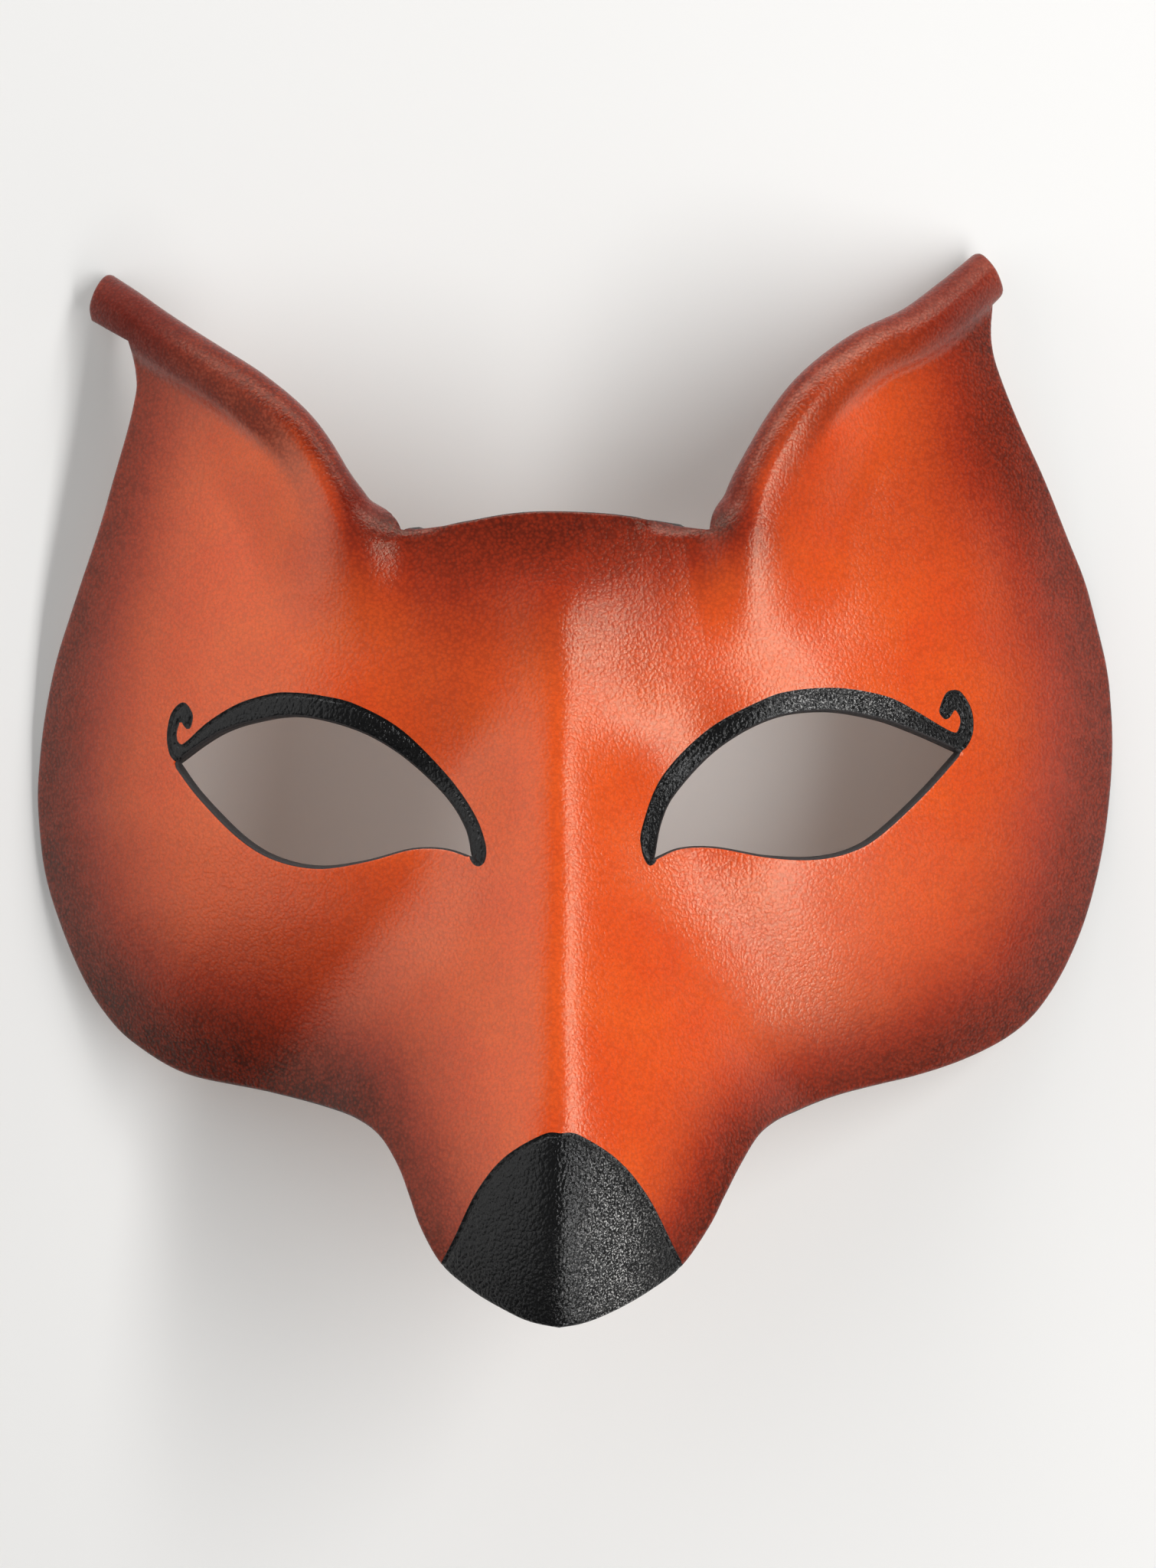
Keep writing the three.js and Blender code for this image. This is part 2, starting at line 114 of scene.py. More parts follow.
# Each ear: the crest of its roll runs from the forehead to the tip. Profiles along it are pairs of a
# distance along the crest and a value there. The end cut is pairs of a distance past the tip and a
# distance across the crest. The eyeliner runs from the outer corner of the eye, around its curl and
# over the lid, to the inner corner.
LEFT = {
    "side": -1,
    "half_width": 103.5,
    "sweep": 0.17,
    "crest": [(-43, 24), (-40.5, 36), (-42, 50), (-50, 65), (-60, 74.5), (-75.8, 85.2), (-90.6, 96)],
    "notch_at": 23.0,
    "rise": [(0, 0), (26, 5.5), (55, 5.6), (94, 4.6)],
    "roll_radius": [(23, 8), (36, 6), (94, 5.6)],
    "wrap_degrees": [(23, 84), (42, 185), (74, 180), (94, 96)],
    "crease": (42, 64),
    "end_cut": [(-1.1, -5), (0.6, -3.4), (1.6, -1.4), (2.4, 2.4), (2.2, 5.8), (1, 9)],
    "edge": [(-84.7, 86.7), (-83.1, 80.4), (-83.6, 74.4), (-88.9, 55.9), (-94.2, 40), (-100.2, 22),
             (-103.1, 4), (-103.2, -8), (-101.1, -21), (-95.1, -36.4), (-89.9, -45), (-83.5, -51),
             (-72.6, -56.7), (-55.7, -59.6), (-44, -61.9), (-38.1, -63.9), (-34, -66.9), (-30.7, -72.1),
             (-28.5, -77.5), (-26.1, -83.7), (-22.1, -90.3), (-16.4, -94.9), (-11, -97.9), (-5.7, -100.2),
             (0.3, -101.3)],
    "upper_lid": [(-74.2, 4.2), (-65.8, 9.7), (-58, 12.2), (-49.3, 13), (-38.9, 10.5), (-30.2, 5.7),
                  (-22.1, -1.6), (-18, -8), (-16.8, -13.3)],
    "lower_lid": [(-16.8, -13.3), (-21.7, -11.8), (-28, -11.9), (-36.5, -14.2), (-45.5, -15.6),
                  (-53.8, -14.2), (-60.9, -10.2), (-69.2, -2.2), (-74.2, 4.2)],
    "eyeliner": [(-73.4, 4.2), (-75.1, 6.1), (-75.6, 9.9), (-74.7, 13.9), (-72.5, 15.8), (-70.8, 13.7),
                 (-71.1, 11.4), (-71.6, 11), (-72.1, 11.4), (-73, 12.4), (-73.9, 10.7), (-73.9, 8.7),
                 (-73, 7.7), (-71.6, 8.4), (-67.4, 12), (-61.4, 15.5), (-55, 17.3), (-50.8, 17.5),
                 (-45.3, 16.9), (-38.6, 15.2), (-29.9, 10.3), (-21.5, 2), (-16.2, -5.4), (-14, -10.8),
                 (-13.9, -13.9), (-14.9, -15.1), (-16, -14.7), (-16.8, -13.3)],
}
RIGHT = {
    "side": 1,
    "half_width": 109.2,
    "sweep": 0.265,
    "crest": [(42, 24), (38.5, 36), (37.8, 50), (41.6, 61.8), (49.8, 74.2), (60.2, 82.8), (71.5, 89),
              (85.4, 100.8)],
    "notch_at": 25.0,
    "rise": [(0, 0), (26, 5.5), (55, 5.6), (97, 4.6)],
    "roll_radius": [(25, 7.4), (42, 6), (97, 5.6)],
    "wrap_degrees": [(25, 71), (44, 185), (77, 180), (97, 96)],
    "crease": (47, 69),
    "end_cut": [(-4, -5.4), (-0.6, -4.8), (0.9, -2), (1.6, 1.4), (1.4, 5.6), (0, 9)],
    "edge": [(85.6, 90.9), (85.6, 86.9), (86.7, 81.9), (90.2, 72.6), (95.6, 61), (101.2, 48),
             (105.3, 37.5), (109.1, 22), (110.1, 9.7), (108.7, -8), (106, -21), (102.7, -30.9),
             (97.3, -40.9), (90.9, -48), (81.6, -53.1), (69.3, -56.9), (54.8, -59.8), (45.6, -62.7),
             (41.4, -64.5), (38.2, -67.1), (34.9, -72.2), (32, -77.7), (29.1, -83.4), (23.7, -90.6),
             (17.8, -94.9), (11.5, -98.2), (5.6, -100.4), (0.3, -101.3)],
    "upper_lid": [(77.8, 6.4), (70.3, 9.6), (61.7, 12.6), (51.2, 14.1), (40.8, 12.5), (30.8, 7),
                  (22.8, -1.3), (20, -7), (18.8, -13.6)],
    "lower_lid": [(18.8, -13.6), (23.3, -11.7), (30, -11.6), (39.9, -13.4), (48.5, -13.9), (55.7, -12.6),
                  (61.6, -9.4), (70.3, -1.6), (77.8, 6.4)],
    "eyeliner": [(77, 6.4), (78.9, 7.5), (80.2, 10.5), (79.9, 14.5), (78, 17.7), (76.4, 18.2), (75, 17.5),
                 (73.8, 14.6), (74.2, 13.4), (74.9, 12.9), (75.6, 13.3), (76.8, 14.7), (78, 12.8),
                 (77.5, 10.5), (76.5, 10), (73.7, 11.3), (68.8, 14.1), (63.8, 16.6), (57.4, 18),
                 (51.4, 18.4), (44.6, 17.8), (39.1, 16.1), (28.8, 10.5), (20, 1.5), (16.2, -7.9),
                 (16.1, -12.2), (17.2, -14.8), (18.2, -14.7), (18.8, -13.6)],
}
# The edge of the brow between the notches, and the knife line of the nose
BROW_EDGE = [(20.1, 50.4), (10, 51.8), (-0.6, 52.3), (-9.1, 51.8), (-19.7, 50)]
NOSE_LINE = [(-21.9, -90), (-19.6, -85.5), (-15.2, -76.2), (-9.9, -69.6), (-2.8, -65.2), (0.7, -64.9),
             (4.1, -65.3), (11.1, -70), (16.9, -77.2), (21.8, -87), (23.6, -90.4)]
# Where each painted area is closed: across the eye holes, and past the tip of the nose
ACROSS_LEFT_EYE = [(-16.8, -13.3), (-25, -7), (-46, 0), (-64, 3), (-73.4, 4.2)]
ACROSS_RIGHT_EYE = [(18.8, -13.6), (26, -6), (50, 1), (68, 4.5), (77, 6.4)]
PAST_NOSE = [(60, -120), (-60, -120)]

# Brown sprayed over the orange dye along the brow, the left side and the right side, painted shade
# in the valley below the left eye, and faint darker patches on the left brow and in the right concha:
# points of the pattern, each with how far in the colour reaches from it and how much of the orange it
# covers
SPRAY_AND_SHADE = [
    [(-35, 49, 11, 0.74), (-20, 50, 22, 0.8), (0, 52, 24, 0.86), (20, 50, 21, 0.76), (33, 49, 9, 0.7)],
    [(-86, 90, 13, 0.8), (-84, 74, 14, 0.75), (-91, 50, 15, 0.8), (-100, 22, 16.5, 0.85),
     (-103, -6, 17, 0.87), (-98, -32, 19, 0.9), (-84, -51, 23, 0.93), (-60, -59, 24, 0.93),
     (-40, -63, 20, 0.92), (-31, -73, 15, 0.8), (-24, -88, 13, 0.8), (-16, -95, 12, 0.82)],
    [(86, 88, 17, 0.88), (90, 72, 19, 0.85), (101, 48, 20, 0.84), (109, 22, 21, 0.83), (110, 0, 21, 0.83),
     (105, -22, 20, 0.85), (94, -44, 18, 0.86), (70, -57, 17, 0.84), (48, -62, 15, 0.82),
     (36, -69, 12.5, 0.85), (29, -82, 11, 0.88), (22, -92, 10, 0.85)],
    # Painted shade: a darker patch in the valley between the snout and the left cheek, below the eye
    [(-26, -14, 9, 0.14), (-44, -31, 13, 0.24), (-58, -44, 13, 0.24)],
    # A faint darker patch on the left brow, down towards the inner corner of the left eye
    [(-27, 32, 12, 0.24), (-20, 14, 9, 0.14)],
    # A faint darker patch in the right concha
    [(46, 58, 11, 0.2), (63, 51, 14, 0.18), (82, 62, 12, 0.2)],
    # Narrow brown strokes along the edge of the brow beside each notch
    [(12, 52, 2, 0.6), (22, 51, 2.5, 0.85), (31, 50.5, 3, 0.8)],
    [(-22, 50.5, 2, 0.6), (-33, 50, 3, 0.8)],
]
# The deep red brown brushed along the rolls: what it covers on each roll and on its crest, where it
# sets in past the notch on the roll and beside it, and, across the crest, where it deepens inward,
# where it starts outside the roll and where the two join
ROLL_STAIN = {
    "left": (0.92, 0.86), "right": (0.88, 0.6), "sets_in": (-4.0, 8.0), "sets_in_beside": (2.0, 30.0),
    "deepens": (0.0, 6.0), "beside": (-7.0, -3.5), "joins": (0.0, 4.0),
}
# Where the grain was drawn up loose and shows deeper pebbles
WRINKLES = [
    [(20, -14, 9, 0.9), (30, -24, 9, 0.9), (42, -42, 9, 0.9)],
    [(-18, -18, 6, 0.5), (-24, -30, 6, 0.5)],
    [(8, 28, 8, 0.6), (14, 22, 8, 0.6)],
]
# Painted highlight: where pale specks are painted on the black paint as glints of the right softbox, on
# the right side of the nose and on the right eyeliner
PAINTED_GLINTS = [
    [(8, -72, 3.5, 0.6), (11, -81, 6, 1.0), (10, -94, 7, 1.0)],
    [(46, 15, 5, 0.7), (62, 16, 6, 0.6)],
]

# Sizes of the patterns in the materials, in millimetres: clouds of the dye, mottle and droplets of
# the spray and the painted shade, pebbles and creases of the grain, the same under the paint, specks
# of the painted highlight on the black paint, fibres of the cut edge, nap of the flesh side and patches
# where dye soaked through. Droplets, creases, fibres and nap are finer on real leather: they are as
# coarse here as they need to be to show.
PATTERN = {
    "clouds": 17.0, "mottle": 5.0, "droplets": 0.55, "pebbles": 0.68, "creases": 0.4,
    "painted_pebbles": 0.8, "painted_creases": 0.5, "specks": 0.36,
    "fibres": 0.3, "nap": 0.35, "soaked": 22.0,
}
# Depths of the bumps: of the grain under the paint as a share of the bare grain's, and of the fibres
# and the nap in millimetres
BUMP = {"painted_grain": 1.6, "fibres": 0.08, "nap": 0.14}

# Knife lines: their step, the rows of points beside them, and the middle and half width of the
# groove, all measured inward from the edge of the paint, and how far the ink in it spreads outward
CUT_LINE = {"step": 0.4, "rows": (-0.5, -0.21, 0.3, 0.62, 1.0), "middle": 0.32, "half_width": 0.33,
            "overlap": 0.16}

# Distances between mesh points on the grain side, on the flesh side and along the rim, the rows
# beside the rim, the rows down the cut edge, and the polyline steps that gaps are measured from
PITCH = {
    "front": 0.85, "back": 2.4, "rim": 0.8, "rim_rows": (0.2, 0.42, 0.8), "edge_rows": 3,
    "fine_rim": 0.1, "fine_knife": 0.05,
}
# Least gaps between mesh points: of the knife line to the rim, in the rows beside the rim and beside
# the knife line, and in the fields as shares of their pitch
LEAST_GAP = {"knife_to_rim": 0.3, "rim_rows": 0.14, "knife_rows": 0.2, "front": 0.62, "back": 0.6}
# How far the ink of the cut edge reaches onto the grain side, around the outline and the eye holes
INKED = {"outside": 0.25, "eyes": 0.5}

# Unevenness: its size on the grain side, its size and depth on the flesh side and along the fibres
# of the cut edge, and the radius rubbed onto the rim of the flesh side
UNEVEN_SIZE = 14.0
FLESH = {"size": 6.0, "depth": 0.15, "rounding": 0.5}
EDGE_FIBRE = {"size": 0.9, "depth": 0.12}

# Which side of each loop the sheet lies on: the outline, the left eye hole and the right one
LOOP_SIDES = (1, -LEFT["side"], -RIGHT["side"])

# Material slots of the sheet
GRAIN_SLOT, PAINT_SLOT, EDGE_SLOT, FLESH_SLOT = range(4)

# The view: image width in pixels, pixels to a millimetre on the floor, and the point looked at
VIEW = {"width": 1510, "scale": 6.6, "centre": (0.5, -1.85)}

# Width of the studio floor in metres
FLOOR_WIDTH = 6.0
# Softboxes: azimuth and elevation in degrees, and in metres distance, length and height
SOFTBOXES = {
    "right": (-7.0, 52.0, 1.1, (1.6, 0.18)),
    "low_right": (-32.0, 26.0, 1.3, (1.2, 0.5)),
    "left": (163.0, 24.0, 1.3, (1.8, 0.7)),
    "wide_left": (163.0, 22.0, 1.4, (2.2, 1.5)),
    "back": (90.0, 11.0, 1.3, (2.0, 0.4)),
    "top": (170.0, 62.0, 1.5, (3.0, 2.4)),
}


def smoothstep(value, low, high):
    share = np.clip((value - low) / (high - low), 0.0, 1.0)
    return share * share * (3.0 - 2.0 * share)


def lerp(start, end, share):
    return start + (end - start) * share


def along(profile, distance):
    """Value of a profile at each distance, eased from one station to the next"""
    value = np.full(np.shape(distance), float(profile[0][1]))
    for (start, low), (end, high) in zip(profile, profile[1:]):
        value += (high - low) * smoothstep(distance, start, end)
    return value


def fillet_max(a, b, width):
    """The higher of two surfaces, with a fillet of the given width where they meet"""
    overlap = np.maximum(width - np.abs(a - b), 0.0) / width
    return np.maximum(a, b) + overlap * overlap * width / 4.0


def soft_ramp(distance, softness):
    return (distance + np.hypot(distance, softness)) / 2.0


def swelling(form, x, y):
    centre_x, centre_y, across, reach, height = form
    return height * np.exp(-((x - centre_x) / across) ** 2 - ((y - centre_y) / reach) ** 2)


def face_height(x, y):
    """Height of the face over the rim, before the ears are rolled"""
    half_width = np.where(x < 0, LEFT["half_width"], RIGHT["half_width"])
    sweep = lerp(LEFT["sweep"], RIGHT["sweep"], smoothstep(x, -SWEEP_MEETS, SWEEP_MEETS))
    brow_fall = sweep * (np.hypot(y, SWEEP_SOFTNESS) - SWEEP_SOFTNESS)
    brow_fall += EAR_DROOP["rate"] * np.maximum(y - EAR_DROOP["start"], 0.0) ** 2
    fall_back = np.where(y < 0, BROW_HEIGHT * (y / CHEEK_REACH) ** 2, brow_fall)
    bend = BROW_HEIGHT * np.abs(x / half_width) ** CHEEK_POWER
    bowl = BROW_HEIGHT - bend - fall_back

    climb = soft_ramp(BRIDGE["start"] - y, BRIDGE["softness"]) * BRIDGE["climb"]
    curl = soft_ramp(BRIDGE["end"] - y, BRIDGE["softness"]) * BRIDGE["curl"]
    rounding = along(CREST_ROUNDING, y)
    drop = along(CREST_SLOPE, y) * (np.hypot(x, rounding) - rounding)
    drop += along(FLANK_SLOPE, y) * (np.hypot(x, FLANK_ROUNDING) - FLANK_ROUNDING)
    snout = BRIDGE["foot"] + climb - curl - drop - bend - np.where(y < 0, 0.0, fall_back)

    height = fillet_max(bowl, snout, along(SNOUT_BLEND, y))
    height += swelling(BROW_SWELLING, x, y)
    height += swelling(EYE_SOCKET, np.abs(x), y)
    height += swelling(EAR_HOLLOW, np.abs(x), y)
    return height


def curve(points, step=0.25):
    """Points at even steps along a Catmull-Rom curve through the given ones, both ends included"""
    per_span = 60
    given = np.array(points, float)
    last = len(given) - 1
    place = np.linspace(0.0, last, last * per_span + 1)
    i = np.minimum(place.astype(int), last - 1)
    t = (place - i)[:, None]
    before, start, end = given[np.maximum(i - 1, 0)], given[i], given[i + 1]
    after = given[np.minimum(i + 2, last)]
    leave, arrive = (end - before) / 2.0, (after - start) / 2.0
    line = (2 * start - 2 * end + leave + arrive) * t ** 3
    line += (3 * end - 3 * start - 2 * leave - arrive) * t ** 2 + leave * t + start
    return even_steps(line, step)


def even_steps(line, step):
    """The same polyline with its points at even steps, both ends included"""
    reached = lengths_along(line)
    count = max(1, round(reached[-1] / step))
    stations = np.linspace(0.0, reached[-1], count + 1)
    return np.column_stack([np.interp(stations, reached, line[:, k]) for k in range(line.shape[1])])


def lengths_along(line):
    return np.concatenate([[0.0], np.cumsum(np.linalg.norm(np.diff(line, axis=0), axis=1))])


def inward(ear, steps):
    """Inward side of each step along the crest, at right angles to it"""
    normals = np.column_stack([-steps[:, 1], steps[:, 0]]) * ear["side"]
    return normals / np.linalg.norm(normals, axis=1)[:, None]


def crest_line(ear):
    """The crest of an ear's roll as a fine polyline that runs on straight past the tip"""
    segments = 120
    extension = 16.0
    line = curve(ear["crest"])
    line = even_steps(line, lengths_along(line)[-1] / segments)
    heading = line[-1] - line[-2]
    line = np.vstack([line, line[-1] + heading / np.linalg.norm(heading) * extension])
    return line


def at_crest(ear, distance, across):
    """Points of the pattern at distances along the crest and distances inward across it"""
    line = crest_line(ear)
    reached = lengths_along(line)
    i = np.clip(np.searchsorted(reached, distance), 1, len(line) - 1)
    steps = line[i] - line[i - 1]
    share = (distance - reached[i - 1]) / (reached[i] - reached[i - 1])
    return line[i - 1] + share[:, None] * steps + inward(ear, steps) * np.asarray(across)[:, None]


def locate(ear, points):
    """Nearest place on the crest: how far along it, how far inward of it, and its foot"""
    line = crest_line(ear)
    reached = lengths_along(line)
    gap = np.full(len(points), np.inf)
    distance = np.zeros(len(points))
    foot = np.zeros((len(points), 2))
    normal = np.zeros((len(points), 2))
    for i in range(1, len(line)):
        step = line[i] - line[i - 1]
        share = np.clip((points - line[i - 1]) @ step / (step @ step), 0.0, 1.0)
        nearest = line[i - 1] + share[:, None] * step
        away = np.linalg.norm(points - nearest, axis=1)
        closer = away < gap
        gap[closer] = away[closer]
        foot[closer] = nearest[closer]
        distance[closer] = reached[i - 1] + share[closer] * np.linalg.norm(step)
        normal[closer] = inward(ear, step[None])[0]
    across = np.where(np.sum((points - foot) * normal, axis=1) < 0, -gap, gap)
    clear = gap > 1e-6
    normal[clear] = (points[clear] - foot[clear]) / across[clear][:, None]
    return distance, across, foot, normal


def ear_points(ear, points):
    """Places of the sheet's front on one side, once its ear is rolled"""
    x, y = points[:, 0], points[:, 1]
    distance, across, foot, normal = locate(ear, points)
    floor = face_height(x, y)
    rise = along(ear["rise"], distance)
    crest_height = face_height(foot[:, 0], foot[:, 1]) + rise
    radius = along(ear["roll_radius"], distance)

    def bell(reach):
        return np.maximum(1.0 - (across / reach) ** 2, 0.0) ** 2

    soft = floor + rise * bell(RIDGE_REACH["outward"])
    inside = np.sqrt(np.maximum(radius ** 2 - across ** 2, 0.0))
    tube = rise - radius + np.where(-across < radius, inside, radius + across)
    creased = floor + fillet_max(0.0, tube, CREASE_FILLET)
    outer_height = lerp(soft, creased, smoothstep(distance, *ear["crease"]))
    outer = np.column_stack([x, y, outer_height])

    past = distance - ear["notch_at"]
    past_notch = smoothstep(past, -NOTCH_BEND["before"], NOTCH_BEND["past"])
    on_brow = smoothstep(across, NOTCH_BEND["near"], NOTCH_BEND["far"])
    on_brow *= 1.0 - smoothstep(past, NOTCH_BEND["past"] / 2.0, NOTCH_BEND["past"])
    rolled = past_notch * (1.0 - on_brow)
    curvature = np.maximum(rolled, 1e-4) / radius
    turn = across * curvature
    reach = np.sin(turn) / curvature
    forehead = floor + rise * bell(RIDGE_REACH["inward"])
    inner_height = lerp(forehead, crest_height, rolled) - (1.0 - np.cos(turn)) / curvature
    inner = np.column_stack([foot + normal * reach[:, None], inner_height])
    return np.where((across <= 0)[:, None], outer, inner)


def front_points(points):
    """Places of pattern points on the front of the formed sheet, in the frame it stands in"""
    places = np.zeros((len(points), 3))
    for ear, here in ((LEFT, points[:, 0] < 0), (RIGHT, points[:, 0] >= 0)):
        places[here] = ear_points(ear, points[here])
    return places + PATTERN_ORIGIN


def front_normals(points):
    reach = 0.05
    along_x = front_points(points + (reach, 0)) - front_points(points - (reach, 0))
    along_y = front_points(points + (0, reach)) - front_points(points - (0, reach))
    normals = np.cross(along_x, along_y)
    return normals / np.linalg.norm(normals, axis=1)[:, None]


def roll_edge(ear, step):
    """Free edge of the roll on the flat pattern, from the notch beside the brow to the tip"""
    tip_at = lengths_along(crest_line(ear))[-2]
    past, across_at_end = ear["end_cut"][-1]
    start, end = ear["notch_at"], tip_at + past
    stations = np.linspace(start, end, round((end - start) / step) + 1)
    wrapped = np.radians(along(ear["wrap_degrees"], stations)) * along(ear["roll_radius"], stations)
    settle = smoothstep(stations, end - NOTCH_BEND["settle"], end)
    return at_crest(ear, stations, lerp(wrapped, across_at_end, settle))


def side_outline(ear, step):
    """Outline of one side, from its notch over the ear and the cheek to the nose tip"""
    tip_at = lengths_along(crest_line(ear))[-2]
    past, across = np.array(ear["end_cut"]).T
    end_cut = curve(at_crest(ear, tip_at + past, across)[::-1], step)
    corner = even_steps(np.array([end_cut[-1], ear["edge"][0]]), step)
    parts = [roll_edge(ear, step), end_cut, corner, curve(ear["edge"], step)]
    return np.vstack([part[:-1] for part in parts])


def sheet_outline(step):
    """Whole outline, anticlockwise: left side down to the nose tip, right side up, then the brow"""
    left, right = side_outline(LEFT, step), side_outline(RIGHT, step)
    brow = curve([tuple(right[0]), *BROW_EDGE, tuple(left[0])], step)
    return np.vstack([left, [LEFT["edge"][-1]], right[:0:-1], brow[:-1]])


def eye_outline(ear, step):
    return np.vstack([curve(ear["upper_lid"], step)[:-1], curve(ear["lower_lid"], step)[:-1]])


def is_inside(loop, points):
    """Whether each point lies inside a closed loop"""
    inside = np.zeros(len(points), bool)
    x, y = points[:, 0], points[:, 1]
    for (ax, ay), (bx, by) in zip(loop, np.roll(loop, 1, axis=0)):
        if ay == by:
            continue
        inside ^= ((ay > y) != (by > y)) & (x < (bx - ax) * (y - ay) / (by - ay) + ax)
    return inside


def tree_of(points):
    tree = kdtree.KDTree(len(points))
    for i, (x, y) in enumerate(points):
        tree.insert((x, y, 0.0), i)
    tree.balance()
    return tree


def distances_to(points, places):
    """Distance of each point to the nearest of a set of places"""
    tree = tree_of(places)
    return np.array([tree.find((x, y, 0.0))[2] for x, y in points])


def offset(line, distance, closed=False):
    """The same polyline, moved to its left by a distance"""
    if closed:
        heading = np.roll(line, -1, axis=0) - np.roll(line, 1, axis=0)
    else:
        heading = np.gradient(line, axis=0)
    left = np.column_stack([-heading[:, 1], heading[:, 0]])
    return line + left / np.linalg.norm(left, axis=1)[:, None] * distance


def thinned(groups):
    """Points of each group in turn, without those nearer than its gap to one already kept"""
    cell = max(gap for _, gap in groups)
    taken = {}
    kept = []
    for points, gap in groups:
        for x, y in points:
            column, row = math.floor(x / cell), math.floor(y / cell)
            near = (
                place
                for i in (column - 1, column, column + 1)
                for j in (row - 1, row, row + 1)
                for place in taken.get((i, j), ())
            )
            if any((x - u) ** 2 + (y - v) ** 2 < gap * gap for u, v in near):
                continue
            taken.setdefault((column, row), []).append((x, y))
            kept.append((x, y))
    return np.array(kept)


def even_field(outline, step):
    """A field of points at even steps in rows set half a step apart, over the outline's box"""
    low, high = outline.min(axis=0), outline.max(axis=0)
    rows = np.arange(low[1], high[1], step * math.sqrt(3.0) / 2.0)
    columns = np.arange(low[0], high[0], step)
    x, y = np.meshgrid(columns, rows)
    x[1::2] += step / 2.0
    wobble = step * 0.04    # so that no four points lie on a circle
    x += wobble * np.sin(7.0 * x + 5.0 * y)
    y += wobble * np.sin(5.0 * x - 9.0 * y)
    return np.column_stack([x.ravel(), y.ravel()])


def on_sheet(points, loops):
    inside = is_inside(loops[0], points)
    for eye in loops[1:]:
        inside &= ~is_inside(eye, points)
    return inside


def triangulated(points, loops, lines):
    """Triangles of the sheet over the points, of which the loops come first, with every line kept
    as a row of edges"""
    edges = []
    start = 0
    for loop in loops:
        ring = range(start, start + len(loop))
        edges += list(zip(ring, [*ring[1:], start]))
        start += len(loop)
    edges += lines
    made = delaunay_2d_cdt([Vector(point) for point in points], edges, [], 0, 1e-6, True)
    triangles = np.array(made[2])
    source = np.array([came_from[0] if came_from else -1 for came_from in made[3]])
    triangles = source[triangles]
    middles = points[triangles].mean(axis=1)
    return triangles[on_sheet(middles, loops)]


def cut_lines():
    """The knife lines around the painted parts: each line, and which side of it is painted"""
    return [
        (curve(LEFT["eyeliner"], CUT_LINE["step"]), LEFT["side"]),
        (curve(RIGHT["eyeliner"], CUT_LINE["step"]), RIGHT["side"]),
        (curve(NOSE_LINE, CUT_LINE["step"]), -1),
    ]


def painted_areas():
    """Closed outlines of the painted parts: each line, closed across an eye hole or past the nose"""
    left, right, nose = [line for line, _ in cut_lines()]
    return [
        np.vstack([left, curve(ACROSS_LEFT_EYE, 1.0)[1:-1]]),
        np.vstack([right, curve(ACROSS_RIGHT_EYE, 1.0)[1:-1]]),
        np.vstack([nose, PAST_NOSE]),
    ]


def is_painted(points):
    painted = np.zeros(len(points), bool)
    for area in painted_areas():
        painted |= is_inside(area, points)
    return painted


def unevenness(places, size, depth, seed):
    """Hand-formed unevenness of a given size and depth, never above the surface"""
    contrast = 1.6
    lift = np.array([noise.noise(Vector(place) / size + Vector((seed, 0.0, 0.0))) for place in places])
    return -depth * (0.5 + 0.5 * np.clip(lift * contrast, -1.0, 1.0))


def rounded_rim(gap, radius):
    """How far a rounded rim lies below the sheet, at a distance in from the cut edge"""
    inner = np.clip(radius - gap, 0.0, radius)
    return radius - np.sqrt(radius ** 2 - inner ** 2)


def covered_by(strokes, points):
    """Share that strokes cover at each point, where each stroke fades out over its own reach"""
    untouched_or_glint = np.ones(len(points))
    for stroke in strokes:
        path = even_steps(np.array(stroke, float), 0.5)
        tree = tree_of(path[:, :2])
        found = [tree.find((x, y, 0.0)) for x, y in points]
        away = np.array([distance for _, _, distance in found])
        reach, cover = path[[i for _, i, _ in found], 2:].T
        untouched_or_glint *= 1.0 - cover * np.exp(-((away / reach) ** 2))
    return 1.0 - untouched_or_glint


def roll_stain(points):
    """Share of the orange that the stain brushed along the rolls covers at each point"""
    stain = np.zeros(len(points))
    for ear, label, here in ((LEFT, "left", points[:, 0] < 0), (RIGHT, "right", points[:, 0] >= 0)):
        cover, crest_cover = ROLL_STAIN[label]
        distance, across, _, _ = locate(ear, points[here])
        past = distance - ear["notch_at"]
        deepened = lerp(crest_cover, cover, smoothstep(across, *ROLL_STAIN["deepens"]))
        on_roll = smoothstep(past, *ROLL_STAIN["sets_in"]) * deepened
        beside = smoothstep(past, *ROLL_STAIN["sets_in_beside"]) * crest_cover
        beside *= smoothstep(across, *ROLL_STAIN["beside"])
        joined = lerp(beside, 1.0, smoothstep(across, *ROLL_STAIN["joins"]))
        stain[here] = np.where(across > 0, np.minimum(on_roll, joined), beside)
    return stain


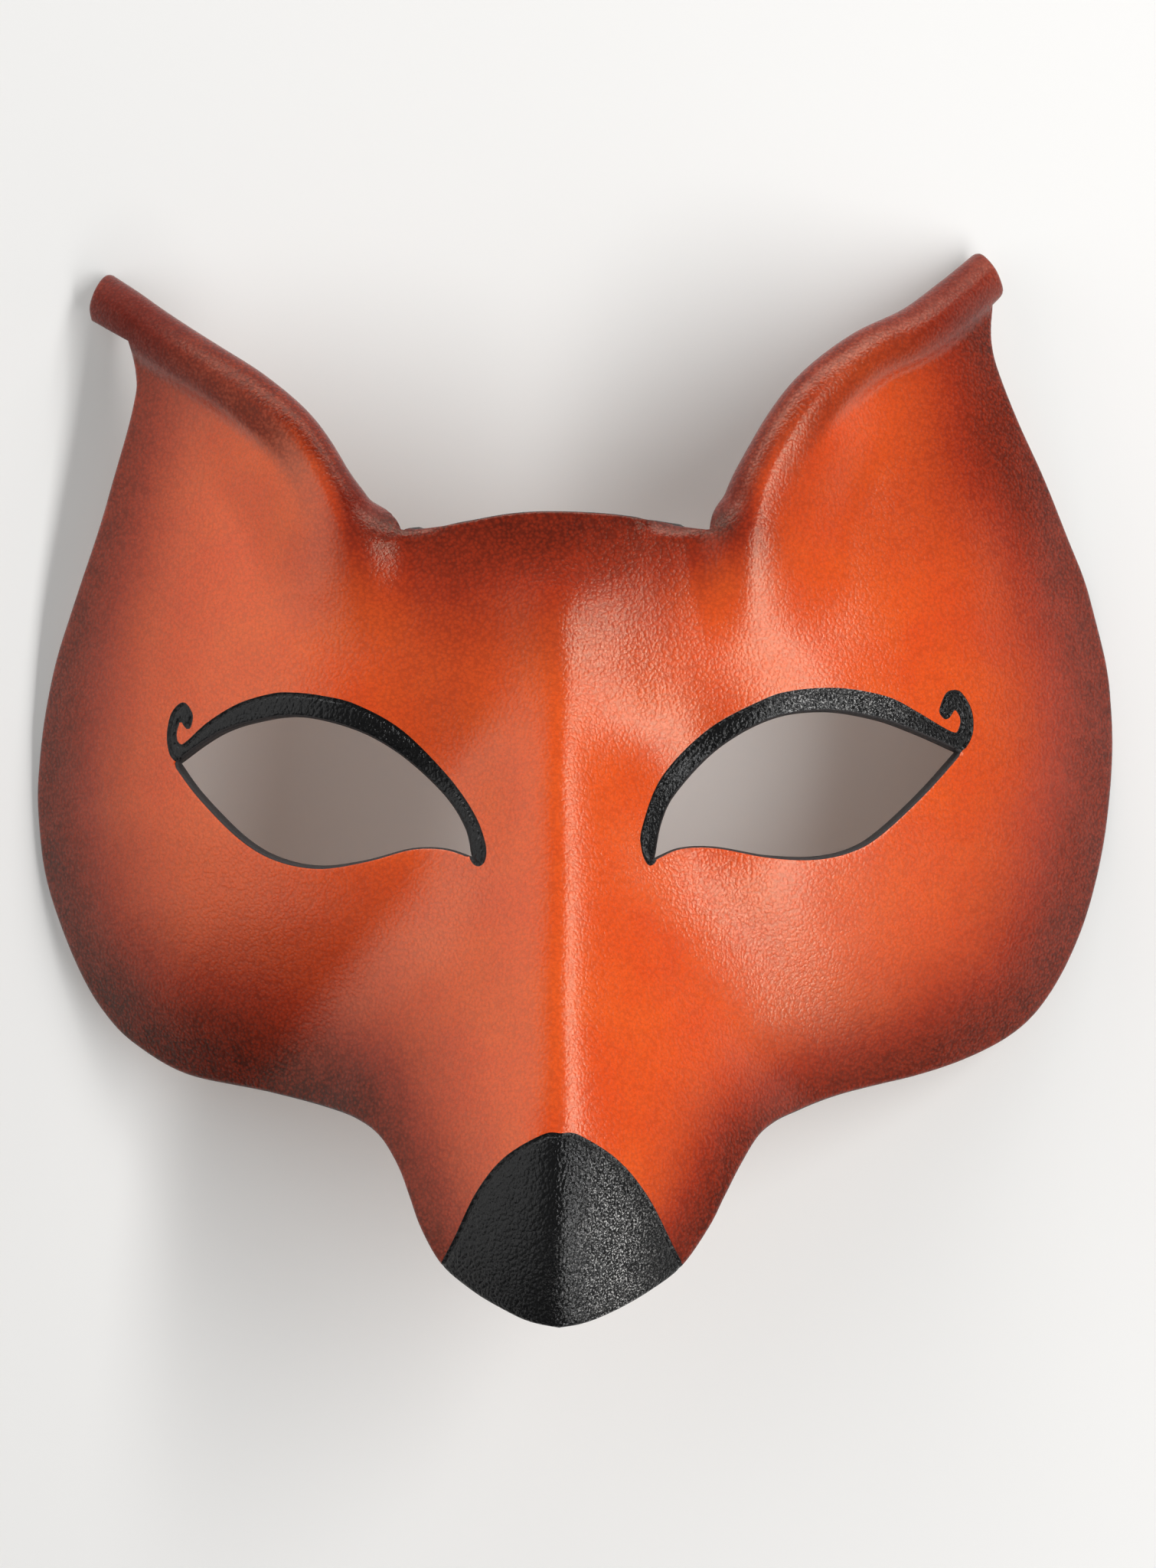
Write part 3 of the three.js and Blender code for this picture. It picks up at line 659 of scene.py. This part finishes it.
def front_surface(settings):
    """Pattern points, shaped and plain places, normals, triangles, loops and slots of the grain side"""
    outline = sheet_outline(PITCH["rim"])
    eyes = [eye_outline(ear, PITCH["rim"]) for ear in (LEFT, RIGHT)]
    loops = [outline, *eyes]
    rim_rows = [
        offset(loop, side * reach, closed=True)
        for reach in PITCH["rim_rows"]
        for loop, side in zip(loops, LOOP_SIDES)
    ]
    lines = [line for line, _ in cut_lines()]
    line_rows = [
        offset(line, side * reach) for line, side in cut_lines() for reach in CUT_LINE["rows"]
    ]

    rim = np.vstack(loops)
    knife = np.vstack(lines)
    knife = knife[on_sheet(knife, loops) & (distances_to(knife, rim) > LEAST_GAP["knife_to_rim"])]
    groups = [(rim, 0.0), (knife, 0.0)]
    groups += [(row[on_sheet(row, loops)], LEAST_GAP["rim_rows"]) for row in rim_rows]
    groups += [(row[on_sheet(row, loops)], LEAST_GAP["knife_rows"]) for row in line_rows]
    field = even_field(outline, PITCH["front"])
    groups.append((field[on_sheet(field, loops)], PITCH["front"] * LEAST_GAP["front"]))
    points = thinned(groups)

    joined = []
    for i in range(len(knife) - 1):
        if np.linalg.norm(knife[i + 1] - knife[i]) < 2.0 * CUT_LINE["step"]:
            joined.append((len(rim) + i, len(rim) + i + 1))
    triangles = triangulated(points, loops, joined)

    places, normals = front_points(points), front_normals(points)
    fine_eyes = np.vstack([eye_outline(ear, PITCH["fine_rim"]) for ear in (LEFT, RIGHT)])
    gap_to_eyes = distances_to(points, fine_eyes)
    gap_to_rim = np.minimum(gap_to_eyes, distances_to(points, sheet_outline(PITCH["fine_rim"])))
    fine_lines = np.vstack([even_steps(line, PITCH["fine_knife"]) for line in lines])
    gap_to_knife = distances_to(points, fine_lines)
    signed = np.where(is_painted(points), gap_to_knife, -gap_to_knife)
    finish = np.where(signed[triangles].mean(axis=1) > -CUT_LINE["overlap"], PAINT_SLOT, GRAIN_SLOT)
    finish[gap_to_rim[triangles].max(axis=1) < INKED["outside"]] = EDGE_SLOT
    finish[gap_to_eyes[triangles].max(axis=1) < INKED["eyes"]] = EDGE_SLOT
    groove = np.maximum(1.0 - ((signed - CUT_LINE["middle"]) / CUT_LINE["half_width"]) ** 2, 0.0)
    height = unevenness(places, UNEVEN_SIZE, settings.unevenness / MM, seed=3.0)
    height -= rounded_rim(gap_to_rim, settings.edge_rounding / MM)
    height -= groove * settings.cut_depth / MM
    shaped = places + normals * height[:, None]
    return points, shaped, places, normals, triangles, loops, finish


def back_surface(loops, settings):
    """Places and triangles of the flesh side, coarser than the grain side"""
    rim = np.vstack(loops)
    field = even_field(loops[0], PITCH["back"])
    field = field[on_sheet(field, loops)]
    points = thinned([(rim, 0.0), (field, PITCH["back"] * LEAST_GAP["back"])])
    triangles = triangulated(points, loops, [])
    behind, facing = front_points(points), front_normals(points)
    lift = unevenness(behind, FLESH["size"], FLESH["depth"], seed=9.0)
    depth = settings.thickness / MM - lift - FLESH["depth"]
    depth -= rounded_rim(distances_to(points, rim), FLESH["rounding"])
    return behind - facing * depth[:, None], triangles


def sheet_mesh(name, settings):
    """The closed sheet: grain side, flesh side and the cut edge between them"""
    points, shaped, places, normals, triangles, loops, front_finish = front_surface(settings)
    back_places, back_triangles = back_surface(loops, settings)
    on_rim = sum(len(loop) for loop in loops)

    rows = PITCH["edge_rows"]
    edge_rows = []
    roughness = unevenness(places[:on_rim], EDGE_FIBRE["size"], EDGE_FIBRE["depth"], seed=5.0)
    outward = np.cross(np.roll(places[:on_rim], -1, axis=0) - places[:on_rim], normals[:on_rim])
    outward /= np.maximum(np.linalg.norm(outward, axis=1), 1e-6)[:, None]
    outward *= np.repeat(LOOP_SIDES, [len(loop) for loop in loops])[:, None]
    for row in range(1, rows + 1):
        share = row / (rows + 1)
        place = lerp(shaped[:on_rim], back_places[:on_rim], share)
        edge_rows.append(place + outward * (roughness * math.sin(math.pi * share))[:, None])

    vertices = np.vstack([shaped, back_places, *edge_rows])
    back_start = len(shaped)
    row_start = [0, *[back_start + len(back_places) + on_rim * row for row in range(rows)], back_start]
    faces = [tuple(corners) for corners in triangles]
    finish = list(front_finish)
    faces += [(back_start + a, back_start + c, back_start + b) for a, b, c in back_triangles]
    finish += [FLESH_SLOT] * len(back_triangles)

    start = 0
    for loop, side in zip(loops, LOOP_SIDES):
        ring = list(range(start, start + len(loop)))
        for here, after in zip(ring, [*ring[1:], start]):
            for upper, lower in zip(row_start, row_start[1:]):
                corners = (upper + here, lower + here, lower + after, upper + after)
                faces.append(corners if side > 0 else corners[::-1])
                finish.append(EDGE_SLOT)
        start += len(loop)

    low, high = np.array(SHEET_BOX[0]) / MM, np.array(SHEET_BOX[1]) / MM
    vertices[:, :2] = np.clip(vertices[:, :2], low[:2], high[:2])
    vertices[:, 2] = np.minimum(vertices[:, 2], high[2])
    mesh = bpy.data.meshes.new(name)
    mesh.from_pydata(vertices * MM, [], faces)
    mesh.polygons.foreach_set("material_index", np.array(finish, np.int32))
    # Tones that the materials read: the sprayed brown together with the painted shade below the left eye,
    # the roll stain, the loose wrinkles and the glints painted on the black paint
    tones = {"spray": covered_by(SPRAY_AND_SHADE, points), "roll_stain": roll_stain(points)}
    tones.update(wrinkles=covered_by(WRINKLES, points), rubbed=covered_by(PAINTED_GLINTS, points))
    for label, values in tones.items():
        attribute = mesh.attributes.new(label, "FLOAT", "POINT")
        spread = np.zeros(len(vertices))
        spread[:len(points)] = values
        spread[row_start[1]:] = np.tile(values[:on_rim], rows)
        attribute.data.foreach_set("value", spread)
    trim_level(mesh)
    mesh.validate()
    mesh.shade_smooth()
    return mesh


def trim_level(mesh):
    """Cuts off what reaches below the plane that the mask lies on, and closes the cut"""
    shape = bmesh.new()
    shape.from_mesh(mesh)
    everything = [*shape.verts, *shape.edges, *shape.faces]
    cut = bmesh.ops.bisect_plane(
        shape, geom=everything, dist=1e-7, plane_co=(0, 0, 0), plane_no=(0, 0, 1), clear_inner=True
    )
    rim = [item for item in cut["geom_cut"] if isinstance(item, bmesh.types.BMEdge)]
    filled = bmesh.ops.triangle_fill(shape, edges=rim, use_beauty=True, normal=(0, 0, -1))
    for face in filled["geom"]:
        if isinstance(face, bmesh.types.BMFace):
            face.material_index = EDGE_SLOT
    bmesh.ops.dissolve_degenerate(shape, edges=shape.edges, dist=1e-7)
    bmesh.ops.recalc_face_normals(shape, faces=shape.faces)
    shape.to_mesh(mesh)
    shape.free()


# A mix node's own numbers for its factor, its two colours and the colour that it gives
MIX_FACTOR, MIX_A, MIX_B, MIXED = 0, 6, 7, 2


def add_node(tree, kind, inputs=None, output=0, **settings):
    """Adds one node with its settings, gives each input a value or a link from a socket, and returns
    one of the node's outputs, the first unless another is asked for"""
    node = tree.nodes.new(kind)
    for label, value in settings.items():
        setattr(node, label, value)
    for label, value in (inputs or {}).items():
        if isinstance(value, bpy.types.NodeSocket):
            tree.links.new(value, node.inputs[label])
        else:
            node.inputs[label].default_value = value
    return node.outputs[output] if len(node.outputs) else None


def new_material(name):
    """An empty node material, its tree, and the position on the piece in millimetres"""
    material = bpy.data.materials.new(name)
    material.use_nodes = True
    tree = material.node_tree
    tree.nodes.clear()
    place = add_node(tree, "ShaderNodeTexCoord", output="Object")
    place = add_node(tree, "ShaderNodeVectorMath", {0: place, 1: (1.0 / MM,) * 3}, operation="MULTIPLY")
    return material, tree, place


def grain_pebbles(tree, place, size):
    """Pebbles of a size in millimetres, rounded, 1 at their tops and 0 in the deepest valleys"""
    away = add_node(
        tree, "ShaderNodeTexVoronoi", {"Vector": place, "Scale": 1.0 / size}, "Distance", feature="F1"
    )
    squared = add_node(tree, "ShaderNodeMath", {0: away, 1: 2.0}, operation="POWER")
    return add_node(
        tree, "ShaderNodeMapRange",
        {"Value": squared, "From Min": 0.0, "From Max": 0.55, "To Min": 1.0, "To Max": 0.0},
    )


def dyed_grain(settings):
    """Vegetable-tanned leather, grain side: spirit dye, airbrushed brown and a painted shade below the
    left eye, all under a thin satin sealer. The sealer gives soft broad lights, broken into specks by
    the pebbles of the grain."""
    material, tree, place = new_material("vegetable_tanned_leather_dyed")

    # The orange dye took unevenly, in clouds
    clouds = add_node(
        tree, "ShaderNodeTexNoise",
        {"Vector": place, "Scale": 1.0 / PATTERN["clouds"], "Detail": 4.0, "Roughness": 0.6},
    )
    took_less = add_node(
        tree, "ShaderNodeMapRange", {"Value": clouds, "From Min": 0.35, "From Max": 0.65}
    )
    dye = add_node(
        tree, "ShaderNodeMix",
        {MIX_FACTOR: took_less, MIX_A: linear_of(settings.dye), MIX_B: linear_of(settings.dye_light)},
        MIXED, data_type="RGBA",
    )

    # Spray, painted shade and stain lie in droplets, in a broader mottle, and deeper between the pebbles
    droplets = add_node(
        tree, "ShaderNodeTexNoise",
        {"Vector": place, "Scale": 1.0 / PATTERN["droplets"], "Detail": 2.0, "Roughness": 0.7},
    )
    mottle = add_node(
        tree, "ShaderNodeTexNoise",
        {"Vector": place, "Scale": 1.0 / PATTERN["mottle"], "Detail": 3.0, "Roughness": 0.6},
    )
    by_droplet = add_node(
        tree, "ShaderNodeMapRange",
        {"Value": droplets, "From Min": 0.3, "From Max": 0.7, "To Min": 0.92, "To Max": 1.06},
    )
    by_mottle = add_node(
        tree, "ShaderNodeMapRange",
        {"Value": mottle, "From Min": 0.3, "From Max": 0.7, "To Min": -0.05, "To Max": 0.05},
    )
    patchy = add_node(tree, "ShaderNodeMath", {0: by_droplet, 1: by_mottle}, operation="ADD")
    pebble_tops = grain_pebbles(tree, place, PATTERN["pebbles"])
    by_pebble = add_node(
        tree, "ShaderNodeMapRange",
        {"Value": pebble_tops, "From Min": 0.3, "From Max": 1.0, "To Min": 1.05, "To Max": 0.92},
    )
    settled = add_node(tree, "ShaderNodeMath", {0: patchy, 1: by_pebble}, operation="MULTIPLY")

    # The spray and the painted shade below the left eye turn the orange red brown where they are thin,
    # then dark brown. The stain covers both.
    spray = add_node(tree, "ShaderNodeAttribute", output="Fac", attribute_name="spray")
    spray_and_shade_cover = add_node(tree, "ShaderNodeMath", {0: spray, 1: settled}, operation="MULTIPLY")
    thin = add_node(tree, "ShaderNodeMapRange", {"Value": spray_and_shade_cover, "From Min": 0.0, "From Max": 0.6})
    reddened = add_node(
        tree, "ShaderNodeMix",
        {MIX_FACTOR: thin, MIX_A: dye, MIX_B: linear_of(settings.thin_spray_and_shade)},
        MIXED, data_type="RGBA",
    )
    thick = add_node(tree, "ShaderNodeMapRange", {"Value": spray_and_shade_cover, "From Min": 0.6, "From Max": 1.0})
    browned = add_node(
        tree, "ShaderNodeMix",
        {MIX_FACTOR: thick, MIX_A: reddened, MIX_B: linear_of(settings.spray_brown)},
        MIXED, data_type="RGBA",
    )
    stain = add_node(tree, "ShaderNodeAttribute", output="Fac", attribute_name="roll_stain")
    stained = add_node(tree, "ShaderNodeMath", {0: stain, 1: settled}, operation="MULTIPLY")
    coloured = add_node(
        tree, "ShaderNodeMix",
        {MIX_FACTOR: stained, MIX_A: browned, MIX_B: linear_of(settings.roll_brown)},
        MIXED, data_type="RGBA",
    )

    # The grain is pebbles and the creases between them, deeper where it was drawn up in wrinkles,
    # and darker in its pores
    creases = add_node(
        tree, "ShaderNodeTexNoise",
        {"Vector": place, "Scale": 1.0 / PATTERN["creases"], "Detail": 2.0, "Roughness": 0.6},
    )
    raised = add_node(tree, "ShaderNodeMath", {0: pebble_tops, 1: 0.5}, operation="MULTIPLY")
    folded = add_node(tree, "ShaderNodeMath", {0: creases, 1: 0.9}, operation="MULTIPLY")
    grain = add_node(tree, "ShaderNodeMath", {0: raised, 1: folded}, operation="ADD")
    wrinkled = add_node(tree, "ShaderNodeAttribute", output="Fac", attribute_name="wrinkles")
    deeper = add_node(tree, "ShaderNodeMath", {0: 0.6, 1: wrinkled}, operation="ADD")
    height = add_node(tree, "ShaderNodeMath", {0: grain, 1: deeper}, operation="MULTIPLY")
    pores = add_node(
        tree, "ShaderNodeMapRange",
        {"Value": grain, "From Min": 0.45, "From Max": 1.05, "To Min": 0.84, "To Max": 1.1},
    )
    colour = add_node(
        tree, "ShaderNodeMix", {MIX_FACTOR: 1.0, MIX_A: coloured, MIX_B: pores},
        MIXED, data_type="RGBA", blend_type="MULTIPLY",
    )

    # The sealer glosses less over spray, painted shade and stain, more in the wrinkles, and unevenly by
    # droplets
    gloss_over_spray_and_shade = add_node(
        tree, "ShaderNodeMapRange",
        {"Value": spray_and_shade_cover, "From Min": 0.2, "From Max": 0.9, "To Min": 0.78, "To Max": 0.3},
    )
    over_stain = add_node(
        tree, "ShaderNodeMapRange",
        {"Value": stained, "From Min": 0.5, "From Max": 0.85, "To Min": 1.0, "To Max": 0.32},
    )
    in_wrinkles = add_node(
        tree, "ShaderNodeMapRange",
        {"Value": wrinkled, "From Min": 0.0, "From Max": 1.0, "To Min": 1.0, "To Max": 1.6},
    )
    dulled = add_node(tree, "ShaderNodeMath", {0: gloss_over_spray_and_shade, 1: over_stain}, operation="MULTIPLY")
    gloss = add_node(tree, "ShaderNodeMath", {0: dulled, 1: in_wrinkles}, operation="MULTIPLY")
    roughness = add_node(
        tree, "ShaderNodeMapRange",
        {"Value": droplets, "From Min": 0.2, "From Max": 0.8, "To Min": 0.24, "To Max": 0.31},
    )
    normal = add_node(tree, "ShaderNodeBump", {"Height": height, "Distance": settings.grain_depth})
    shader = add_node(
        tree, "ShaderNodeBsdfPrincipled",
        {
            "Base Color": colour,
            "Roughness": roughness,
            "IOR": 1.47,
            "Specular IOR Level": gloss,
            "Specular Tint": linear_of(settings.sealer),
            "Normal": normal,
        },
    )
    add_node(tree, "ShaderNodeOutputMaterial", {"Surface": shader})
    return material


def black_paint(settings):
    """Acrylic leather paint, brushed on black: satin, with the grain showing through, and pale specks
    painted on it as glints of the right softbox
    """
    material, tree, place = new_material("acrylic_leather_paint_black")
    creases = add_node(
        tree, "ShaderNodeTexNoise",
        {"Vector": place, "Scale": 1.0 / PATTERN["painted_creases"], "Detail": 2.0, "Roughness": 0.6},
    )
    pebble_tops = grain_pebbles(tree, place, PATTERN["painted_pebbles"])
    raised = add_node(tree, "ShaderNodeMath", {0: pebble_tops, 1: 0.6}, operation="MULTIPLY")
    grain = add_node(tree, "ShaderNodeMath", {0: raised, 1: creases}, operation="ADD")

    # Painted highlight: pale specks painted on the black paint where the right softbox glints
    specks = add_node(
        tree, "ShaderNodeTexNoise",
        {"Vector": place, "Scale": 1.0 / PATTERN["specks"], "Detail": 3.0, "Roughness": 0.75},
    )
    untouched_or_glint = add_node(tree, "ShaderNodeMapRange", {"Value": specks, "From Min": 0.54, "From Max": 0.63})
    rubbed = add_node(tree, "ShaderNodeAttribute", output="Fac", attribute_name="rubbed")
    glinting = add_node(tree, "ShaderNodeMath", {0: untouched_or_glint, 1: rubbed}, operation="MULTIPLY")
    colour = add_node(
        tree, "ShaderNodeMix",
        {MIX_FACTOR: glinting, MIX_A: linear_of(settings.paint), MIX_B: linear_of(settings.paint_glint)},
        MIXED, data_type="RGBA",
    )
    normal = add_node(
        tree, "ShaderNodeBump",
        {"Height": grain, "Distance": settings.grain_depth * BUMP["painted_grain"]},
    )
    shader = add_node(
        tree, "ShaderNodeBsdfPrincipled",
        {
            "Base Color": colour,
            "Roughness": 0.16,
            "IOR": 1.5,
            "Specular IOR Level": 0.3,
            "Normal": normal,
        },
    )
    add_node(tree, "ShaderNodeOutputMaterial", {"Surface": shader})
    return material


def inked_edge(settings):
    """Knife-cut edge of the leather, inked and rubbed: matt, with the fibres showing"""
    material, tree, place = new_material("cut_leather_edge_inked")
    fibres = add_node(
        tree, "ShaderNodeTexNoise",
        {"Vector": place, "Scale": 1.0 / PATTERN["fibres"], "Detail": 3.0, "Roughness": 0.7},
    )
    standing = add_node(
        tree, "ShaderNodeMapRange", {"Value": fibres, "From Min": 0.35, "From Max": 0.75}
    )
    colour = add_node(
        tree, "ShaderNodeMix",
        {
            MIX_FACTOR: standing,
            MIX_A: linear_of(settings.edge_ink),
            MIX_B: linear_of(settings.edge_fibre),
        },
        MIXED, data_type="RGBA",
    )
    normal = add_node(tree, "ShaderNodeBump", {"Height": fibres, "Distance": BUMP["fibres"] * MM})
    shader = add_node(
        tree, "ShaderNodeBsdfPrincipled",
        {"Base Color": colour, "Roughness": 0.62, "IOR": 1.5, "Normal": normal},
    )
    add_node(tree, "ShaderNodeOutputMaterial", {"Surface": shader})
    return material


def suede_back(settings):
    """Flesh side of vegetable-tanned leather, split and undyed: its short nap looks soft and matt,
    and dye has soaked through at places"""
    material, tree, place = new_material("vegetable_tanned_leather_flesh_side")
    nap = add_node(
        tree, "ShaderNodeTexNoise",
        {"Vector": place, "Scale": 1.0 / PATTERN["nap"], "Detail": 4.0, "Roughness": 0.75},
    )
    patches = add_node(
        tree, "ShaderNodeTexNoise",
        {"Vector": place, "Scale": 1.0 / PATTERN["soaked"], "Detail": 4.0, "Roughness": 0.6},
    )
    soaked = add_node(tree, "ShaderNodeMapRange", {"Value": patches, "From Min": 0.4, "From Max": 0.66})
    flesh = add_node(
        tree, "ShaderNodeMix",
        {MIX_FACTOR: soaked, MIX_A: linear_of(settings.flesh), MIX_B: linear_of(settings.flesh_soaked)},
        MIXED, data_type="RGBA",
    )
    shaded = add_node(
        tree, "ShaderNodeMapRange",
        {"Value": nap, "From Min": 0.3, "From Max": 0.7, "To Min": 0.0, "To Max": 0.45},
    )
    colour = add_node(
        tree, "ShaderNodeMix",
        {MIX_FACTOR: shaded, MIX_A: flesh, MIX_B: linear_of(settings.flesh_dark)},
        MIXED, data_type="RGBA",
    )
    normal = add_node(tree, "ShaderNodeBump", {"Height": nap, "Distance": BUMP["nap"] * MM})
    shader = add_node(
        tree, "ShaderNodeBsdfPrincipled",
        {
            "Base Color": colour,
            "Roughness": 0.9,
            "IOR": 1.47,
            "Sheen Weight": 0.25,
            "Normal": normal,
        },
    )
    add_node(tree, "ShaderNodeOutputMaterial", {"Surface": shader})
    return material


def linear_of(colour):
    return (*colour, 1.0)


def from_hex(colour):
    """Linear RGB of an sRGB hex colour such as '#b5461d'"""
    shares = [int(colour[i:i + 2], 16) / 255.0 for i in (1, 3, 5)]
    return [s / 12.92 if s <= 0.04045 else ((s + 0.055) / 1.055) ** 2.4 for s in shares]


def length_property(label, description, millimetres):
    return FloatProperty(
        name=label, description=description, default=millimetres * MM, min=0.0, precision=5, unit="LENGTH"
    )


def power_property(label, watts):
    return FloatProperty(
        name=label, description=f"Power of the {label.lower()}", default=watts, unit="POWER"
    )


def colour_property(label, description, colour):
    return FloatVectorProperty(
        name=label, description=description, subtype="COLOR", default=from_hex(colour), min=0.0, max=1.0
    )


class FoxMaskSheetSettings(bpy.types.PropertyGroup):
    thickness: length_property("Leather thickness", "Thickness of the leather", 2.8)
    edge_rounding: length_property("Edge rounding", "Radius rubbed onto the cut edge", 0.7)
    cut_depth: length_property("Cut depth", "Depth of the knife line around the painted parts", 0.4)
    unevenness: length_property("Unevenness", "Depth of the hand-formed unevenness", 0.3)
    grain_depth: length_property("Grain depth", "Depth of the pebbles of the grain", 0.1)
    dye: colour_property("Orange dye", "Spirit dye where it is deepest", "#dd480c")
    dye_light: colour_property("Light orange dye", "Spirit dye where it took less", "#e35310")
    # Also the colour of the painted shade below the left eye
    thin_spray_and_shade: colour_property("Thin sprayed brown", "Spray that the orange shows through", "#9a280a")
    spray_brown: colour_property("Sprayed brown", "Brown sprayed along the rim", "#3d0f09")
    roll_brown: colour_property("Roll stain", "Red brown brushed along the rolls", "#611207")
    sealer: colour_property("Sealer tint", "Faint amber of the sealer's gloss", "#fffce2")
    paint: colour_property("Black paint", "Paint of the nose and the eyeliner", "#080809")
    # Painted highlight: pale colour of the specks painted as glints on the black paint
    paint_glint: colour_property("Worn black paint", "Paint rubbed pale on the grain", "#d4d2cf")
    edge_ink: colour_property("Edge ink", "Ink on the cut edge", "#161314")
    edge_fibre: colour_property("Edge fibre", "Fibres standing out of the ink", "#37302f")
    flesh: colour_property("Flesh side", "Undyed flesh side", "#b98b62")
    flesh_soaked: colour_property("Soaked flesh side", "Flesh side where dye came through", "#a3623a")
    flesh_dark: colour_property("Nap shadow", "Shaded roots of the nap", "#6d452c")


class FoxMaskStudioSettings(bpy.types.PropertyGroup):
    floor: colour_property("Floor", "Pale studio floor", "#f4f3f1")
    right_power: power_property("Right softbox", 11.2)
    low_right_power: power_property("Low right softbox", 1.7)
    left_power: power_property("Left softbox", 2.5)
    wide_left_power: power_property("Wide left softbox", 6.0)
    back_power: power_property("Back softbox", 12.5)
    top_power: power_property("Top softbox", 3.4)
    room: FloatProperty(
        name="Room light", description="Brightness of the room around", default=0.12, subtype="FACTOR"
    )
    height: FloatProperty(
        name="Camera height", description="Camera's height over the floor", default=1.3, unit="LENGTH"
    )


class FOXMASK_OT_sheet(bpy.types.Operator):
    """Makes the formed, dyed and painted leather sheet in place of its plain solid"""

    bl_idname = "mesh.fox_mask_sheet"
    bl_label = "Leather sheet"

    def execute(self, context):
        settings = context.scene.fox_mask_sheet
        mesh = sheet_mesh("fox_mask_leather", settings)
        if not mesh.polygons:
            raise RuntimeError("the sheet has no faces")
        for make in (dyed_grain, black_paint, inked_edge, suede_back):
            mesh.materials.append(make(settings))
        piece = bpy.data.objects.new("fox_mask_leather", mesh)
        context.collection.objects.link(piece)
        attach(piece, "root")
        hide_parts("leather_mask")
        return {"FINISHED"}


def softbox(name, azimuth, elevation, distance, size, power, target):
    """A soft area light that looks at the target from a direction in degrees"""
    light = bpy.data.lights.new(name, "AREA")
    light.shape = "RECTANGLE"
    light.size, light.size_y = size
    light.energy = power
    lamp = bpy.data.objects.new(name, light)
    around, up = math.radians(azimuth), math.radians(elevation)
    away = Vector((math.cos(around) * math.cos(up), math.sin(around) * math.cos(up), math.sin(up)))
    lamp.location = target + away * distance
    lamp.rotation_euler = away.to_track_quat("Z", "Y").to_euler()
    bpy.context.collection.objects.link(lamp)


class FOXMASK_OT_studio(bpy.types.Operator):
    """Sets up the pale floor, the softboxes and the camera over the mask"""

    bl_idname = "scene.fox_mask_studio"
    bl_label = "Studio"

    def execute(self, context):
        settings = context.scene.fox_mask_studio
        # Uncoated background paper: an even, pale ground without gloss
        material, tree, _ = new_material("matt_studio_paper")
        shader = add_node(
            tree, "ShaderNodeBsdfPrincipled", {"Base Color": linear_of(settings.floor), "Roughness": 0.9}
        )
        add_node(tree, "ShaderNodeOutputMaterial", {"Surface": shader})
        half = FLOOR_WIDTH / 2.0
        corners = [(-half, -half, 0.0), (half, -half, 0.0), (half, half, 0.0), (-half, half, 0.0)]
        mesh = bpy.data.meshes.new("studio_floor")
        mesh.from_pydata(corners, [], [(0, 1, 2, 3)])
        mesh.materials.append(material)
        floor = bpy.data.objects.new("studio_floor", mesh)
        floor.location.z = CAD_BOX[0].z
        context.collection.objects.link(floor)

        target = (CAD_BOX[0] + CAD_BOX[1]) / 2.0
        for label, place in SOFTBOXES.items():
            softbox(f"{label}_softbox", *place, getattr(settings, f"{label}_power"), target)
        world = bpy.data.worlds.new("studio_room")
        world.use_nodes = True
        background = world.node_tree.nodes["Background"]
        background.inputs["Color"].default_value = (1.0, 1.0, 1.0, 1.0)
        background.inputs["Strength"].default_value = settings.room
        context.scene.world = world
        context.scene.view_settings.view_transform = "Standard"

        camera = bpy.data.cameras.new("camera")
        camera.sensor_fit = "HORIZONTAL"
        camera.sensor_width = 36.0
        camera.lens = camera.sensor_width * VIEW["scale"] * settings.height / MM / VIEW["width"]
        eye = bpy.data.objects.new("camera", camera)
        eye.location = (*np.array(VIEW["centre"]) * MM, settings.height)
        context.collection.objects.link(eye)
        context.scene.camera = eye
        return {"FINISHED"}


class FOXMASK_PT_panel(bpy.types.Panel):
    """Lists the makers of the mask and their settings"""

    bl_idname = "FOXMASK_PT_panel"
    bl_label = "Fox mask"
    bl_space_type = "VIEW_3D"
    bl_region_type = "UI"
    bl_category = "Fox mask"

    def draw(self, context):
        for settings, operator in (
            (context.scene.fox_mask_sheet, FOXMASK_OT_sheet),
            (context.scene.fox_mask_studio, FOXMASK_OT_studio),
        ):
            box = self.layout.box()
            for label in settings.__annotations__:
                box.prop(settings, label)
            box.operator(operator.bl_idname)


CLASSES = (
    FoxMaskSheetSettings,
    FoxMaskStudioSettings,
    FOXMASK_OT_sheet,
    FOXMASK_OT_studio,
    FOXMASK_PT_panel,
)


def register():
    for item in CLASSES:
        bpy.utils.register_class(item)
    bpy.types.Scene.fox_mask_sheet = PointerProperty(type=FoxMaskSheetSettings)
    bpy.types.Scene.fox_mask_studio = PointerProperty(type=FoxMaskStudioSettings)


def unregister():
    del bpy.types.Scene.fox_mask_studio
    del bpy.types.Scene.fox_mask_sheet
    for item in reversed(CLASSES):
        bpy.utils.unregister_class(item)


def main():
    register()
    bpy.ops.mesh.fox_mask_sheet()
    bpy.ops.scene.fox_mask_studio()


if __name__ == "__main__":
    main()
